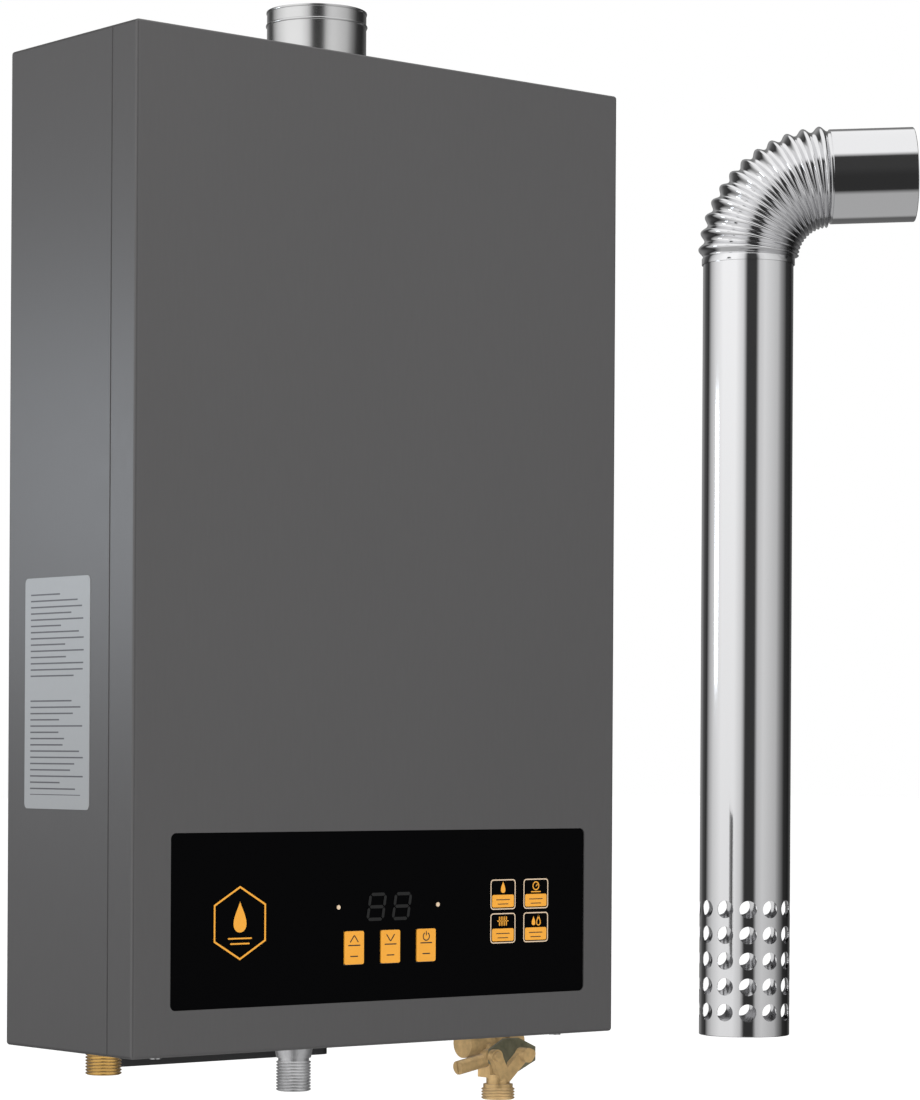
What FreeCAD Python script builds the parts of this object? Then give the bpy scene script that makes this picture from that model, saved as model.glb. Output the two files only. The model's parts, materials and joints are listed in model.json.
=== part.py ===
"""Wall-hung gas water heater with its flue pipe, as a parametric document of separate pieces.

X runs across the front from left to right, Y from the front to the wall, Z up. The origin is the middle
of the four wall bolts, on the plane of the wall. Sizes are in millimetres and angles in degrees.
"""

import FreeCAD
import Part
import Sketcher
import math
import os
import re

V = FreeCAD.Vector

# Driving sizes: each name is an alias in the sheet Sizes.
SIZES = {
    # Sheet-metal case: a rear casing and a front cover that lap behind a narrow seam
    "case_width": 360.0,
    "case_height": 580.0,
    "case_depth": 130.0,
    "case_sheet": 0.8,
    "case_bend": 2.0,
    "cover_depth": 24.0,
    "seam_gap": 1.2,
    "lap_depth": 8.0,
    "lap_clearance": 0.3,
    "fit_clearance": 0.3,
    "cover_screw_x": 150.0,
    "cover_screw_radius": 2.0,
    "cover_screw_length": 4.0,
    "notch_height": 6.0,
    "screw_head_radius": 3.6,
    "screw_head_height": 2.2,
    # Wall bolts and the strips that stiffen the back around them
    "bolt_spacing_x": 300.0,
    "bolt_spacing_z": 524.0,
    "bolt_hole_radius": 4.0,
    "strip_end": 17.0,
    "strip_height": 28.0,
    "strip_thickness": 2.0,
    # Air inlet slots in the bottom
    "slot_count": 8,
    "slot_x": 66.0,
    "slot_pitch": 8.0,
    "slot_width": 4.0,
    "slot_front": -98.0,
    "slot_back": -72.0,
    # Flue collar on the top
    "flue_radius": 30.0,
    "flue_wall": 0.6,
    "flue_y": -58.0,
    "collar_height": 38.0,
    "collar_flange_radius": 40.0,
    "collar_flange_thickness": 1.2,
    "gasket_thickness": 0.8,
    "small_screw_radius": 1.5,
    "small_head_radius": 3.0,
    "small_head_height": 1.8,
    # Control panel in the front cover
    "panel_width": 310.0,
    "panel_height": 100.0,
    "panel_x": 0.8,
    "panel_z": -214.0,
    "panel_corner": 3.5,
    "panel_clearance": 0.2,
    "panel_recess": 0.5,
    "window_flange": 3.0,
    "window_flange_thickness": 2.0,
    "housing_depth": 14.0,
    "housing_wall": 1.6,
    # Keys, their switches and the display
    "key_width": 14.4,
    "key_height": 19.4,
    "key_corner": 1.2,
    "key_travel": 0.6,
    "key_proud": 0.3,
    "key_pitch": 27.1,
    "key_x": 3.8,
    "key_z": -232.3,
    "key_flange": 1.2,
    "key_flange_thickness": 1.0,
    "key_stem_radius": 2.0,
    "switch_side": 6.0,
    "switch_height": 3.4,
    "plunger_radius": 1.6,
    "plunger_height": 0.8,
    "display_width": 38.0,
    "display_height": 19.0,
    "display_x": 3.0,
    "display_z": -208.8,
    "display_depth": 8.2,
    "board_thickness": 1.6,
    "board_width": 120.0,
    "board_height": 62.0,
    "board_drop": 14.0,
    "post_height": 4.0,
    "post_inset": 6.0,
    "post_radius": 3.0,
    "lens_radius": 1.3,
    "lens_left_x": -34.7,
    "lens_right_x": 40.0,
    "lens_z": -208.4,
    # Plate on the left side
    "label_width": 67.0,
    "label_height": 133.0,
    "label_y": -52.9,
    "label_z": -85.1,
    "label_corner": 3.0,
    "label_thickness": 0.4,
    # Pipe threads, a half-inch parallel pipe thread with ring ridges
    "thread_radius": 10.4775,
    "thread_root": 9.32,
    "thread_pitch": 1.814,
    "thread_crest": 0.45,
    "pipe_bore": 5.5,
    # Hot outlet
    "hot_x": -148.2,
    "hot_y": -55.0,
    "hot_drop": 15.0,
    "hex_radius": 15.0,
    "hex_height": 6.0,
    "neck_radius": 8.5,
    "neck_height": 20.0,
    # Gas inlet
    "gas_x": -10.8,
    "gas_y": -55.0,
    "gas_drop": 32.0,
    "gas_cone_height": 12.0,
    "gas_cone_radius": 12.75,
    "gas_flange_side": 44.0,
    "gas_flange_thickness": 4.0,
    "gas_neck_height": 24.0,
    # Cold inlet below the case
    "cold_x": 144.0,
    "cold_y": -63.0,
    "cold_drop": 45.3,
    "cold_thread_length": 9.5,
    "cold_neck_radius": 7.4,
    "cold_barrel_radius": 8.6,
    "cold_barrel_y": -52.0,
    "cold_barrel_drop": 10.5,
    "cold_barrel_left": 130.0,
    "cold_barrel_right": 168.0,
    "riser_x": 150.0,
    "riser_radius": 10.0,
    "riser_flange_radius": 17.0,
    "riser_flange_thickness": 5.0,
    "filter_cap_length": 6.0,
    "lug_radius": 4.4,
    "lug_left_x": 137.2,
    "lug_right_x": 168.0,
    "lug_drop": 18.0,
    "boss_x": 159.6,
    "arm_width": 8.0,
    "arm_thickness": 4.2,
    "clamp_front": -66.0,
    "clamp_thickness": 2.0,
    "clamp_top_width": 12.0,
    "clamp_height": 21.0,
    "drain_radius": 4.4,
    "drain_length": 23.6,
    "drain_tilt": 10.0,
    "drain_root_x": 136.4,
    "drain_y": -59.2,
    "drain_drop": 20.8,
    "drain_slot_width": 1.2,
    "drain_slot_depth": 2.0,
    # Water valve, its flow turbine and the water pipes
    "valve_radius": 13.0,
    "valve_height": 62.0,
    "valve_bore": 9.0,
    "turbine_clearance": 0.5,
    "turbine_length": 10.0,
    "turbine_hub_radius": 3.0,
    "turbine_blade": 0.8,
    "turbine_lift": 24.0,
    "axle_radius": 1.0,
    "axle_clearance": 0.05,
    "water_pipe_radius": 6.0,
    "water_pipe_wall": 0.7,
    "pipe_bend": 13.0,
    "nut_radius": 10.5,
    "nut_height": 11.0,
    # Combustion chamber, burners and exchanger
    "chamber_width": 230.0,
    "chamber_depth": 80.0,
    "chamber_back": -22.0,
    "chamber_bottom": -60.0,
    "chamber_top": 110.0,
    "chamber_sheet": 1.0,
    "fin_count": 45,
    "fin_pitch": 5.0,
    "fin_thickness": 0.4,
    "fin_height": 36.0,
    "fin_gap_top": 2.0,
    "tube_pitch": 16.0,
    "tube_run_count": 5,
    "tube_reach": 10.0,
    "burner_count": 9,
    "burner_pitch": 24.0,
    "burner_thickness": 8.0,
    "burner_height": 56.0,
    "burner_slot": 1.0,
    "burner_slot_depth": 3.0,
    "burner_drop": 4.0,
    "burner_throat": 40.0,
    "burner_wall": 0.8,
    "tray_height": 70.0,
    "tray_port_radius": 4.5,
    "manifold_height": 20.0,
    "manifold_thickness": 14.0,
    "manifold_gap": 4.0,
    "jet_radius": 2.6,
    "jet_gap": 0.5,
    "gas_pipe_radius": 6.5,
    "bracket_width": 20.0,
    "bracket_sheet": 1.5,
    "bracket_x": 92.0,
    # Igniter and flame sensor
    "electrode_radius": 1.0,
    "electrode_reach": 42.0,
    "ceramic_radius": 3.6,
    "ceramic_length": 16.0,
    "ceramic_flange_radius": 6.5,
    "electrode_lift": 10.0,
    "spark_gap": 5.0,
    "igniter_x": 12.0,
    "sensor_x": 66.0,
    # Smoke hood, fan and motor
    "hood_height": 26.0,
    "hood_sheet": 0.8,
    "hood_back": -9.0,
    "riser_left": -64.0,
    "riser_right": 10.0,
    "riser_top": 250.0,
    "fan_x": -27.0,
    "fan_z": 205.0,
    "fan_radius": 38.0,
    "fan_gap": 4.0,
    "scroll_growth": 6.0,
    "scroll_depth": 52.0,
    "scroll_sheet": 1.0,
    "fan_inlet_radius": 25.0,
    "fan_blade_count": 20,
    "fan_blade_thickness": 0.8,
    "fan_blade_depth": 12.0,
    "fan_blade_length": 38.0,
    "fan_disc": 1.2,
    "fan_end_gap": 4.0,
    "fan_hub_radius": 8.0,
    "fan_hub_length": 16.0,
    "fan_shaft_radius": 3.0,
    "motor_radius": 30.0,
    "motor_length": 33.0,
    "motor_bearing_clearance": 0.05,
    # Air pressure switch and its tube
    "pressure_x": 115.0,
    "pressure_z": 225.0,
    "pressure_radius": 22.0,
    "pressure_depth": 18.0,
    "hose_radius": 3.0,
    # Gas valve
    "gas_block_width": 52.0,
    "gas_block_depth": 50.0,
    "gas_block_height": 50.0,
    "coil_radius": 11.5,
    "coil_length": 30.0,
    "coil_pitch": 26.0,
    "plunger_rod_radius": 3.0,
    "plunger_rod_clearance": 0.06,
    "plunger_disc_radius": 5.4,
    "plunger_disc_thickness": 3.0,
    "plunger_travel": 3.0,
    "seat_depth": 20.0,
    "seat_radius": 6.2,
    # Electrics on the back wall
    "control_left": -130.0,
    "control_right": -60.0,
    "control_low": -243.0,
    "control_high": -140.0,
    "control_depth": 38.0,
    "control_wall": 1.6,
    "board_gap": 10.0,
    "ignition_left": 42.0,
    "ignition_right": 90.0,
    "ignition_low": -243.0,
    "ignition_high": -203.0,
    "ignition_depth": 30.0,
    "transformer_low": -190.0,
    "transformer_high": -146.0,
    "transformer_core": 18.0,
    "thermostat_z": -100.0,
    "thermostat_radius": 8.0,
    "grommet_x": 62.0,
    "grommet_y": -40.0,
    "grommet_radius": 8.0,
    "grommet_bore": 4.0,
    # Black tray under the bottom
    "tray_left": -130.0,
    "tray_right": 30.0,
    "tray_front": -40.0,
    "tray_back": -8.0,
    "tray_drop": 13.0,
    "tray_wall": 1.6,
    "tray_corner": 8.0,
    # Separate flue pipe with its crimped elbow
    "pipe_x": 354.0,
    "pipe_y": -68.0,
    "pipe_low": -304.0,
    "pipe_high": 211.7,
    "pipe_hole_radius": 5.75,
    "pipe_hole_pitch": 17.0,
    "pipe_hole_rows": 5,
    "pipe_hole_columns": 12,
    "pipe_hole_margin": 16.0,
    "pipe_turn": -39.65,
    "elbow_radius": 54.4,
    "elbow_angle": 88.0,
    "rib_count": 12,
    "rib_height": 3.4,
    "skirt_length": 4.6,
    "skirt_clearance": 0.3,
    "stub_radius": 31.2,
    "stub_length": 56.0,
    "spigot_length": 1.0,
}

# Places worked out from the sizes: each name is an alias in the sheet Places.
PLACES = {
    "side_x": "case_width / 2",
    "top_z": "case_height / 2",
    "bottom_z": "-case_height / 2",
    "front_y": "-case_depth",
    "cover_edge": "-(case_depth - cover_depth)",
    "casing_edge": "cover_edge + seam_gap",
    "inner_x": "side_x - case_sheet",
    "inner_top": "top_z - case_sheet",
    "inner_bottom": "bottom_z + case_sheet",
    "inner_back": "-case_sheet",
    "wall_y": "inner_back + case_sheet",
    "strip_x": "bolt_spacing_x / 2 + strip_end",
    "cover_inside": "front_y + case_sheet",
    "lap_x": "inner_x - lap_clearance",
    "lap_z": "inner_top - lap_clearance",
    "lap_end": "cover_edge - lap_depth",
    "lap_start": "casing_edge + lap_depth",
    "cover_screw_y": "cover_edge - lap_depth / 2",
    "window_front": "front_y + panel_recess",
    "window_back": "cover_inside + window_flange_thickness",
    "panel_left": "panel_x - panel_width / 2",
    "panel_right": "panel_x + panel_width / 2",
    "panel_low": "panel_z - panel_height / 2",
    "panel_high": "panel_z + panel_height / 2",
    "board_front": "window_back + housing_depth - post_height - board_thickness",
    "board_z": "display_z - board_drop",
    "collar_base": "top_z + gasket_thickness",
    "collar_top": "top_z + collar_height",
    "lug_z": "bottom_z - lug_drop",
    "barrel_z": "bottom_z - cold_barrel_drop",
    "cold_low": "bottom_z - cold_drop",
    "cold_neck_low": "cold_low + cold_thread_length",
    "cold_neck_high": "cold_neck_low + 6",
    "clamp_back": "clamp_front + clamp_thickness",
    "valve_low": "inner_bottom + riser_flange_thickness",
    "valve_high": "valve_low + valve_height",
    "chamber_x": "chamber_width / 2",
    "chamber_front": "chamber_back - chamber_depth",
    "chamber_inner_x": "chamber_x - chamber_sheet",
    "chamber_inner_back": "chamber_back - chamber_sheet",
    "chamber_inner_front": "chamber_front + chamber_sheet",
    "chamber_mid_y": "(chamber_back + chamber_front) / 2",
    "tube_z": "chamber_top - fin_gap_top - fin_height / 2",
    "tube_first_y": "chamber_mid_y + tube_pitch * (tube_run_count - 1) / 2",
    "tube_last_y": "chamber_mid_y - tube_pitch * (tube_run_count - 1) / 2",
    "tube_end_x": "chamber_x + tube_reach",
    "tray_bottom": "chamber_bottom - tray_height",
    "jet_z": "tray_bottom + manifold_height * 0.75",
    "manifold_back": "chamber_front - manifold_gap",
    "manifold_front": "manifold_back - manifold_thickness",
    "manifold_low": "jet_z - manifold_height / 2",
    "electrode_z": "chamber_bottom + electrode_lift",
    "scroll_back": "flue_y + scroll_depth / 2",
    "scroll_front": "flue_y - scroll_depth / 2",
    "riser_front": "scroll_back",
    "hood_top": "chamber_top + hood_height",
    "fan_disc_y": "scroll_front + scroll_sheet + fan_end_gap",
    "shaft_front": "scroll_front - motor_length + 2",
    "gas_block_low": "inner_bottom + gas_neck_height",
    "gas_block_high": "gas_block_low + gas_block_height",
    "gas_block_front": "gas_y - gas_block_depth / 2",
    "coil_z": "gas_block_low + gas_block_height / 2",
    "coil_left": "gas_x - coil_pitch / 2",
    "coil_right": "gas_x + coil_pitch / 2",
    "neck_top": "inner_bottom + hex_height + neck_height",
}

doc = FreeCAD.newDocument("WaterHeater")
KEPT = []


def cell(expression):
    """Write an expression on the names above as one on the sheets' cells."""
    def named(word):
        name = word.group()
        if name in SIZES:
            return "Sizes." + name
        if name in PLACES:
            return "Places." + name
        return name
    return re.sub(r"[A-Za-z_]\w*", named, expression)


def fill_sheets():
    """Put the sizes and the places in their sheets."""
    sizes = doc.addObject("Spreadsheet::Sheet", "Sizes")
    for row, (name, value) in enumerate(SIZES.items(), 1):
        sizes.set(f"A{row}", name)
        sizes.set(f"B{row}", str(value))
        sizes.setAlias(f"B{row}", name)
    doc.recompute()
    places = doc.addObject("Spreadsheet::Sheet", "Places")
    for row, (name, formula) in enumerate(PLACES.items(), 1):
        places.set(f"A{row}", name)
        places.setAlias(f"B{row}", name)
        places.set(f"B{row}", "=" + cell(formula).replace("Places.", ""))
    doc.recompute()


def number(name):
    """Read one size or place from its sheet."""
    sheet = doc.Sizes if name in SIZES else doc.Places
    return float(sheet.get(name))


def numbers(*names):
    """Read several sizes or places."""
    return [number(name) for name in names]


def bind(thing, **properties):
    """Bind properties of an object to expressions."""
    for name, expression in properties.items():
        thing.setExpression(name, cell(expression))
    return thing


def place(thing, x="0", y="0", z="0"):
    """Bind an object's place."""
    for letter, expression in zip("xyz", (x, y, z)):
        thing.setExpression("Placement.Base." + letter, cell(expression))
    return thing


def keep(thing, label):
    """Name a finished sub-part."""
    thing.Label = label
    KEPT.append(thing)
    return thing


def block(x, y, z):
    """Box between a low and a high plane along each axis."""
    box = doc.addObject("Part::Box", "Block")
    bind(box, Length=f"({x[1]}) - ({x[0]})", Width=f"({y[1]}) - ({y[0]})", Height=f"({z[1]}) - ({z[0]})")
    return place(box, x[0], y[0], z[0])


TURNS = {
    "x": FreeCAD.Rotation(V(0, 1, 0), 90),
    "y": FreeCAD.Rotation(V(1, 0, 0), -90),
    "z": FreeCAD.Rotation(),
}


def lay(thing, axis, centre, start):
    """Turn a round primitive along an axis and bind its place."""
    thing.Placement = FreeCAD.Placement(V(), TURNS[axis])
    where = {"x": (start, *centre), "y": (centre[0], start, centre[1]), "z": (*centre, start)}[axis]
    return place(thing, *where)


def rod(axis, centre, start, end, radius):
    """Cylinder along an axis, from start to end, about the centre of the other two."""
    cylinder = doc.addObject("Part::Cylinder", "Rod")
    bind(cylinder, Radius=radius, Height=f"({end}) - ({start})")
    return lay(cylinder, axis, centre, start)


def cone(axis, centre, start, end, first, last):
    """Cone along an axis, from the radius first to the radius last."""
    taper = doc.addObject("Part::Cone", "Taper")
    bind(taper, Radius1=first, Radius2=last, Height=f"({end}) - ({start})")
    return lay(taper, axis, centre, start)


def hexagon(centre, start, end, radius):
    """Upright six-sided prism."""
    prism = doc.addObject("Part::Prism", "Hexagon")
    prism.Polygon = 6
    bind(prism, Circumradius=radius, Height=f"({end}) - ({start})")
    return lay(prism, "z", centre, start)


def fuse(*parts):
    """One solid from several."""
    joined = doc.addObject("Part::MultiFuse", "Joined")
    joined.Shapes = list(parts)
    joined.Refine = True
    return joined


def cut(base, *tools):
    """A solid less others."""
    trimmed = doc.addObject("Part::Cut", "Trimmed")
    trimmed.Base = base
    trimmed.Tool = tools[0] if len(tools) == 1 else group(*tools)
    trimmed.Refine = True
    return trimmed


def group(*parts):
    """Like pieces kept together as separate solids."""
    collection = doc.addObject("Part::Compound", "Group")
    collection.Links = list(parts)
    return collection


def solid(shape, label="Shape"):
    """A shape made here from the sheet's sizes."""
    feature = doc.addObject("Part::Feature", label)
    feature.Shape = shape
    return feature


def tube(axis, centre, start, end, radius, bore):
    """Round tube."""
    return cut(rod(axis, centre, start, end, radius), rod(axis, centre, start, end, bore))


def plane(owner, role):
    """One of a body's own origin planes."""
    return next(item for item in owner.Origin.OriginFeatures if item.Role == role)


def rectangle(owner, width, height):
    """Rectangle centred on a body's origin, facing the front."""
    sketch = owner.newObject("Sketcher::SketchObject", "Outline")
    sketch.AttachmentSupport = [(plane(owner, "XZ_Plane"), "")]
    sketch.MapMode = "FlatFace"
    corners = [V(-20, -10, 0), V(20, -10, 0), V(20, 10, 0), V(-20, 10, 0)]
    for start, end in zip(corners, corners[1:] + corners[:1]):
        sketch.addGeometry(Part.LineSegment(start, end), False)
    for side in range(4):
        sketch.addConstraint(Sketcher.Constraint("Coincident", side, 2, (side + 1) % 4, 1))
    for side, kind in enumerate(["Horizontal", "Vertical", "Horizontal", "Vertical"]):
        sketch.addConstraint(Sketcher.Constraint(kind, side))
    sketch.addConstraint(Sketcher.Constraint("Symmetric", 0, 1, 2, 1, -1, 1))
    across = sketch.addConstraint(Sketcher.Constraint("DistanceX", 0, 1, 0, 2, 40))
    upright = sketch.addConstraint(Sketcher.Constraint("DistanceY", 1, 1, 1, 2, 20))
    sketch.setExpression(f"Constraints[{across}]", cell(width))
    sketch.setExpression(f"Constraints[{upright}]", cell(height))
    return sketch


def edge_names(shape, wanted):
    """Names of the edges that pass a test."""
    return [f"Edge{index}" for index, edge in enumerate(shape.Edges, 1) if wanted(edge)]


def runs_along_y(edge):
    """True for an edge from front to back."""
    first, last = edge.Vertexes[0].Point, edge.Vertexes[-1].Point
    return abs(first.y - last.y) > 1e-6 and (first - last).Length - abs(first.y - last.y) < 1e-6


def plate(name, x, y, z, corner, rounded=None):
    """Plate facing the front with rounded corners, and the edges that pass the test rounded_face too."""
    body = doc.addObject("PartDesign::Body", name)
    place(body, f"(({x[0]}) + ({x[1]})) / 2", y[1], f"(({z[0]}) + ({z[1]})) / 2")
    sketch = rectangle(body, f"({x[1]}) - ({x[0]})", f"({z[1]}) - ({z[0]})")
    pad = body.newObject("PartDesign::Pad", "Pad")
    pad.Profile = sketch
    bind(pad, Length=f"({y[1]}) - ({y[0]})")
    doc.recompute()
    fillet = body.newObject("PartDesign::Fillet", "Fillet")
    wanted = rounded or runs_along_y
    fillet.Base = (pad, edge_names(pad.Shape, wanted))
    bind(fillet, Radius=corner)
    body.Tip = fillet
    doc.recompute()
    return body


def pan(name, x, y, z, closed):
    """Folded sheet pan with rounded bends, closed at its front or its back."""
    def folded(depth, shut_at_front):
        shut = -depth if shut_at_front else 0.0
        return lambda edge: runs_along_y(edge) or all(abs(v.Y - shut) < 1e-6 for v in edge.Vertexes)

    low, high = [f"({plane_name})" for plane_name in y]
    front = closed == "front"
    inner_y = (f"{low} + case_sheet", f"{high} + 1") if front else (f"{low} - 1", f"{high} - case_sheet")
    depth = number(y[1]) - number(y[0])
    outer = plate(name, x, y, z, "case_bend", folded(depth, front))
    hollow = plate(name + "Hollow", (f"{x[0]} + case_sheet", f"{x[1]} - case_sheet"), inner_y,
                   (f"{z[0]} + case_sheet", f"{z[1]} - case_sheet"), "case_bend - case_sheet",
                   folded(depth + 1 - number("case_sheet"), front))
    return cut(outer, hollow)


def bent_path(points, radius):
    """Straight runs joined by tangent arcs."""
    edges = []
    start = points[0]
    for before, corner, after in zip(points, points[1:], points[2:]):
        inward = (before - corner).normalize()
        outward = (after - corner).normalize()
        half = inward.getAngle(outward) / 2
        reach = radius / math.tan(half)
        middle = corner + (inward + outward).normalize() * (radius / math.sin(half) - radius)
        edges.append(Part.LineSegment(start, corner + inward * reach).toShape())
        edges.append(Part.Arc(corner + inward * reach, middle, corner + outward * reach).toShape())
        start = corner + outward * reach
    edges.append(Part.LineSegment(start, points[-1]).toShape())
    return Part.Wire(edges)


def swept(path, radius):
    """Round bar along a path."""
    first = path.Edges[0]
    start = first.valueAt(first.FirstParameter)
    circle = Part.Wire(Part.makeCircle(radius, start, first.tangentAt(first.FirstParameter)))
    return path.makePipeShell([circle], True, False)


def bent_pipe(points, radius, wall, bend):
    """Bent pipe with its bore."""
    path = bent_path(points, bend)
    return swept(path, radius).cut(swept(path, radius - wall))


def turned(profile, axis_point):
    """Body turned from a profile of (radius, height) points about an upright axis."""
    points = [V(radius, 0, height) for radius, height in profile]
    face = Part.Face(Part.makePolygon(points + points[:1]))
    spun = face.revolve(V(), V(0, 0, 1), 360)
    spun.translate(axis_point)
    return spun


def threaded(x, y, low, high):
    """Pipe thread as ring ridges with a flat crest, from low to high."""
    crest_radius, root, pitch, crest = numbers("thread_radius", "thread_root", "thread_pitch", "thread_crest")
    count = int((high - low - crest) // pitch)
    profile = [(0, low)]
    level = low
    for _ in range(count):
        profile += [(root, level), (crest_radius, level + (pitch - crest) / 2)]
        profile += [(crest_radius, level + (pitch + crest) / 2)]
        level += pitch
    profile += [(root, level), (root, high), (0, high)]
    return turned(profile, V(x, y, 0))


def rear_casing():
    """Back, sides, top and bottom in one folded pan, with a stepped lap that carries the cover."""
    shell = pan("CasingPan", ("-side_x", "side_x"), ("casing_edge", "wall_y"), ("bottom_z", "top_z"), "back")
    inner_x, inner_z = "lap_x - case_sheet", "lap_z - case_sheet"
    hollow = block((f"-({inner_x})", inner_x), ("lap_end - 1", "lap_start + 1"), (f"-({inner_z})", inner_z))
    joint = block(("-inner_x", "inner_x"), ("casing_edge", "lap_start"), ("inner_bottom", "inner_top"))
    lap = plate("Lap", ("-lap_x", "lap_x"), ("lap_end", "casing_edge"), ("-lap_z", "lap_z"), "case_bend")
    notches = []
    for x in ("-cover_screw_x", "cover_screw_x"):
        for low, high in (("bottom_z", "bottom_z + notch_height"), ("top_z - notch_height", "top_z")):
            width = "(cover_screw_radius + fit_clearance)"
            notches.append(block((f"{x} - {width}", f"{x} + {width}"),
                                 ("lap_end - 1", f"cover_screw_y + {width}"), (low, high)))
    ring = cut(fuse(joint, lap), hollow, *notches)
    openings = [rod("y", (f"{x} * bolt_spacing_x / 2", f"{z} * bolt_spacing_z / 2"), "-10", "1",
                    "bolt_hole_radius") for x in (-1, 1) for z in (-1, 1)]
    openings.append(rod("z", ("0", "flue_y"), "top_z - 3", "top_z + 1", "flue_radius - flue_wall"))
    openings += collar_screw_rods("top_z - 3", "top_z + 1", "small_screw_radius + fit_clearance")
    for x, y, radius in (("hot_x", "hot_y", "thread_radius + fit_clearance"),
                         ("gas_x", "gas_y", "gas_cone_radius + fit_clearance"),
                         ("riser_x", "cold_barrel_y", "riser_radius + fit_clearance"),
                         ("grommet_x", "grommet_y", "grommet_radius - 2")):
        openings.append(rod("z", (x, y), "bottom_z - 1", "bottom_z + 3", radius))
    openings += air_slots()
    keep(cut(fuse(shell, ring), *openings), "rear_casing")


def air_slots():
    """Air inlet slots in the bottom."""
    slots = []
    for step in range(int(number("slot_count"))):
        near = f"(slot_x + {step} * slot_pitch)"
        for low, high in ((near, f"{near} + slot_width"), (f"-{near} - slot_width", f"-{near}")):
            slots.append(block((low, high), ("slot_front", "slot_back"), ("bottom_z - 1", "bottom_z + 3")))
    return slots


def front_cover():
    """Shallow pan with the panel's cut-out and its screw holes."""
    shell = pan("CoverPan", ("-side_x", "side_x"), ("front_y", "cover_edge"), ("bottom_z", "top_z"), "front")
    window = plate("CutOut", ("panel_left", "panel_right"), ("front_y - 1", "cover_inside + 1"),
                   ("panel_low", "panel_high"), "panel_corner")
    holes = [rod("z", (x, "cover_screw_y"), low, high, "cover_screw_radius + fit_clearance")
             for x in ("-cover_screw_x", "cover_screw_x")
             for low, high in (("bottom_z - 1", "bottom_z + 3"), ("top_z - 3", "top_z + 1"))]
    keep(cut(shell, window, *holes), "front_cover")


def pan_screw(x, y, seat, head, shank, length, direction):
    """Upright pan-head screw: the head sits on seat and the shank points back through it."""
    radius, height = head
    if direction > 0:
        top = rod("z", (x, y), seat, f"{seat} + {height}", radius)
        stem = rod("z", (x, y), f"{seat} - {length}", seat, shank)
    else:
        top = rod("z", (x, y), f"{seat} - {height}", seat, radius)
        stem = rod("z", (x, y), seat, f"{seat} + {length}", shank)
    return fuse(top, stem)


def cover_screws():
    """Four screws that stay in the cover and sit in the lap's open notches."""
    head = ("screw_head_radius", "screw_head_height")
    screws = []
    for x in ("-cover_screw_x", "cover_screw_x"):
        for seat, direction in (("bottom_z", -1), ("top_z", 1)):
            screws.append(pan_screw(x, "cover_screw_y", seat, head, "cover_screw_radius",
                                    "cover_screw_length", direction))
    keep(group(*screws), "cover_screws")


def collar_screw_rods(start, end, radius):
    """Four upright rods on the collar's flange."""
    circle = "((flue_radius + collar_flange_radius) / 2 + 0.5)"
    return [rod("z", (f"{circle} * cos({angle})", f"flue_y + {circle} * sin({angle})"), start, end, radius)
            for angle in (45, 135, 225, 315)]


def flue_collar():
    """Flanged spigot on the top that carries the flue pipe, its gasket and its screws."""
    centre = ("0", "flue_y")
    body = fuse(rod("z", centre, "collar_base", "collar_top", "flue_radius"),
                rod("z", centre, "collar_base", "collar_base + collar_flange_thickness",
                    "collar_flange_radius"))
    holes = collar_screw_rods("collar_base - 1", "collar_base + 3", "small_screw_radius + fit_clearance")
    bore = rod("z", centre, "collar_base - 1", "collar_top + 1", "flue_radius - flue_wall")
    keep(cut(body, bore, *holes), "flue_collar")
    ring = tube("z", centre, "top_z", "collar_base", "collar_flange_radius", "flue_radius")
    clear = collar_screw_rods("top_z - 1", "collar_base + 1", "small_screw_radius + fit_clearance")
    keep(cut(ring, *clear), "collar_gasket")
    seat = "collar_base + collar_flange_thickness"
    heads = collar_screw_rods(seat, f"{seat} + small_head_height", "small_head_radius")
    stems = collar_screw_rods("inner_top", seat, "small_screw_radius")
    keep(group(*[fuse(head, stem) for head, stem in zip(heads, stems)]), "collar_screws")


def hanging_strips():
    """Two steel strips that stiffen the back around the wall bolts."""
    strips = []
    for side in (-1, 1):
        middle = f"{side} * bolt_spacing_z / 2"
        bar = block(("-strip_x", "strip_x"), ("inner_back - strip_thickness", "inner_back"),
                    (f"{middle} - strip_height / 2", f"{middle} + strip_height / 2"))
        holes = [rod("y", (f"{x} * bolt_spacing_x / 2", middle), "-10", "1", "bolt_hole_radius")
                 for x in (-1, 1)]
        strips.append(cut(bar, *holes))
    keep(group(*strips), "hanging_strips")


def side_label():
    """Blank plate on the left side."""
    body = doc.addObject("PartDesign::Body", "SidePlate")
    sketch = rectangle(body, "label_width", "label_height")
    pad = body.newObject("PartDesign::Pad", "Pad")
    pad.Profile = sketch
    bind(pad, Length="label_thickness")
    doc.recompute()
    fillet = body.newObject("PartDesign::Fillet", "Fillet")
    fillet.Base = (pad, edge_names(pad.Shape, runs_along_y))
    bind(fillet, Radius="label_corner")
    body.Tip = fillet
    body.Placement = FreeCAD.Placement(V(), FreeCAD.Rotation(V(0, 0, 1), -90))
    place(body, "-side_x", "label_y", "label_z")
    keep(body, "side_label_plate")


def key_places():
    """Names and middles of the three keys."""
    return [(name, f"(key_x + {step} * key_pitch)")
            for name, step in (("key_up", -1), ("key_down", 0), ("key_power", 1))]


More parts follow.
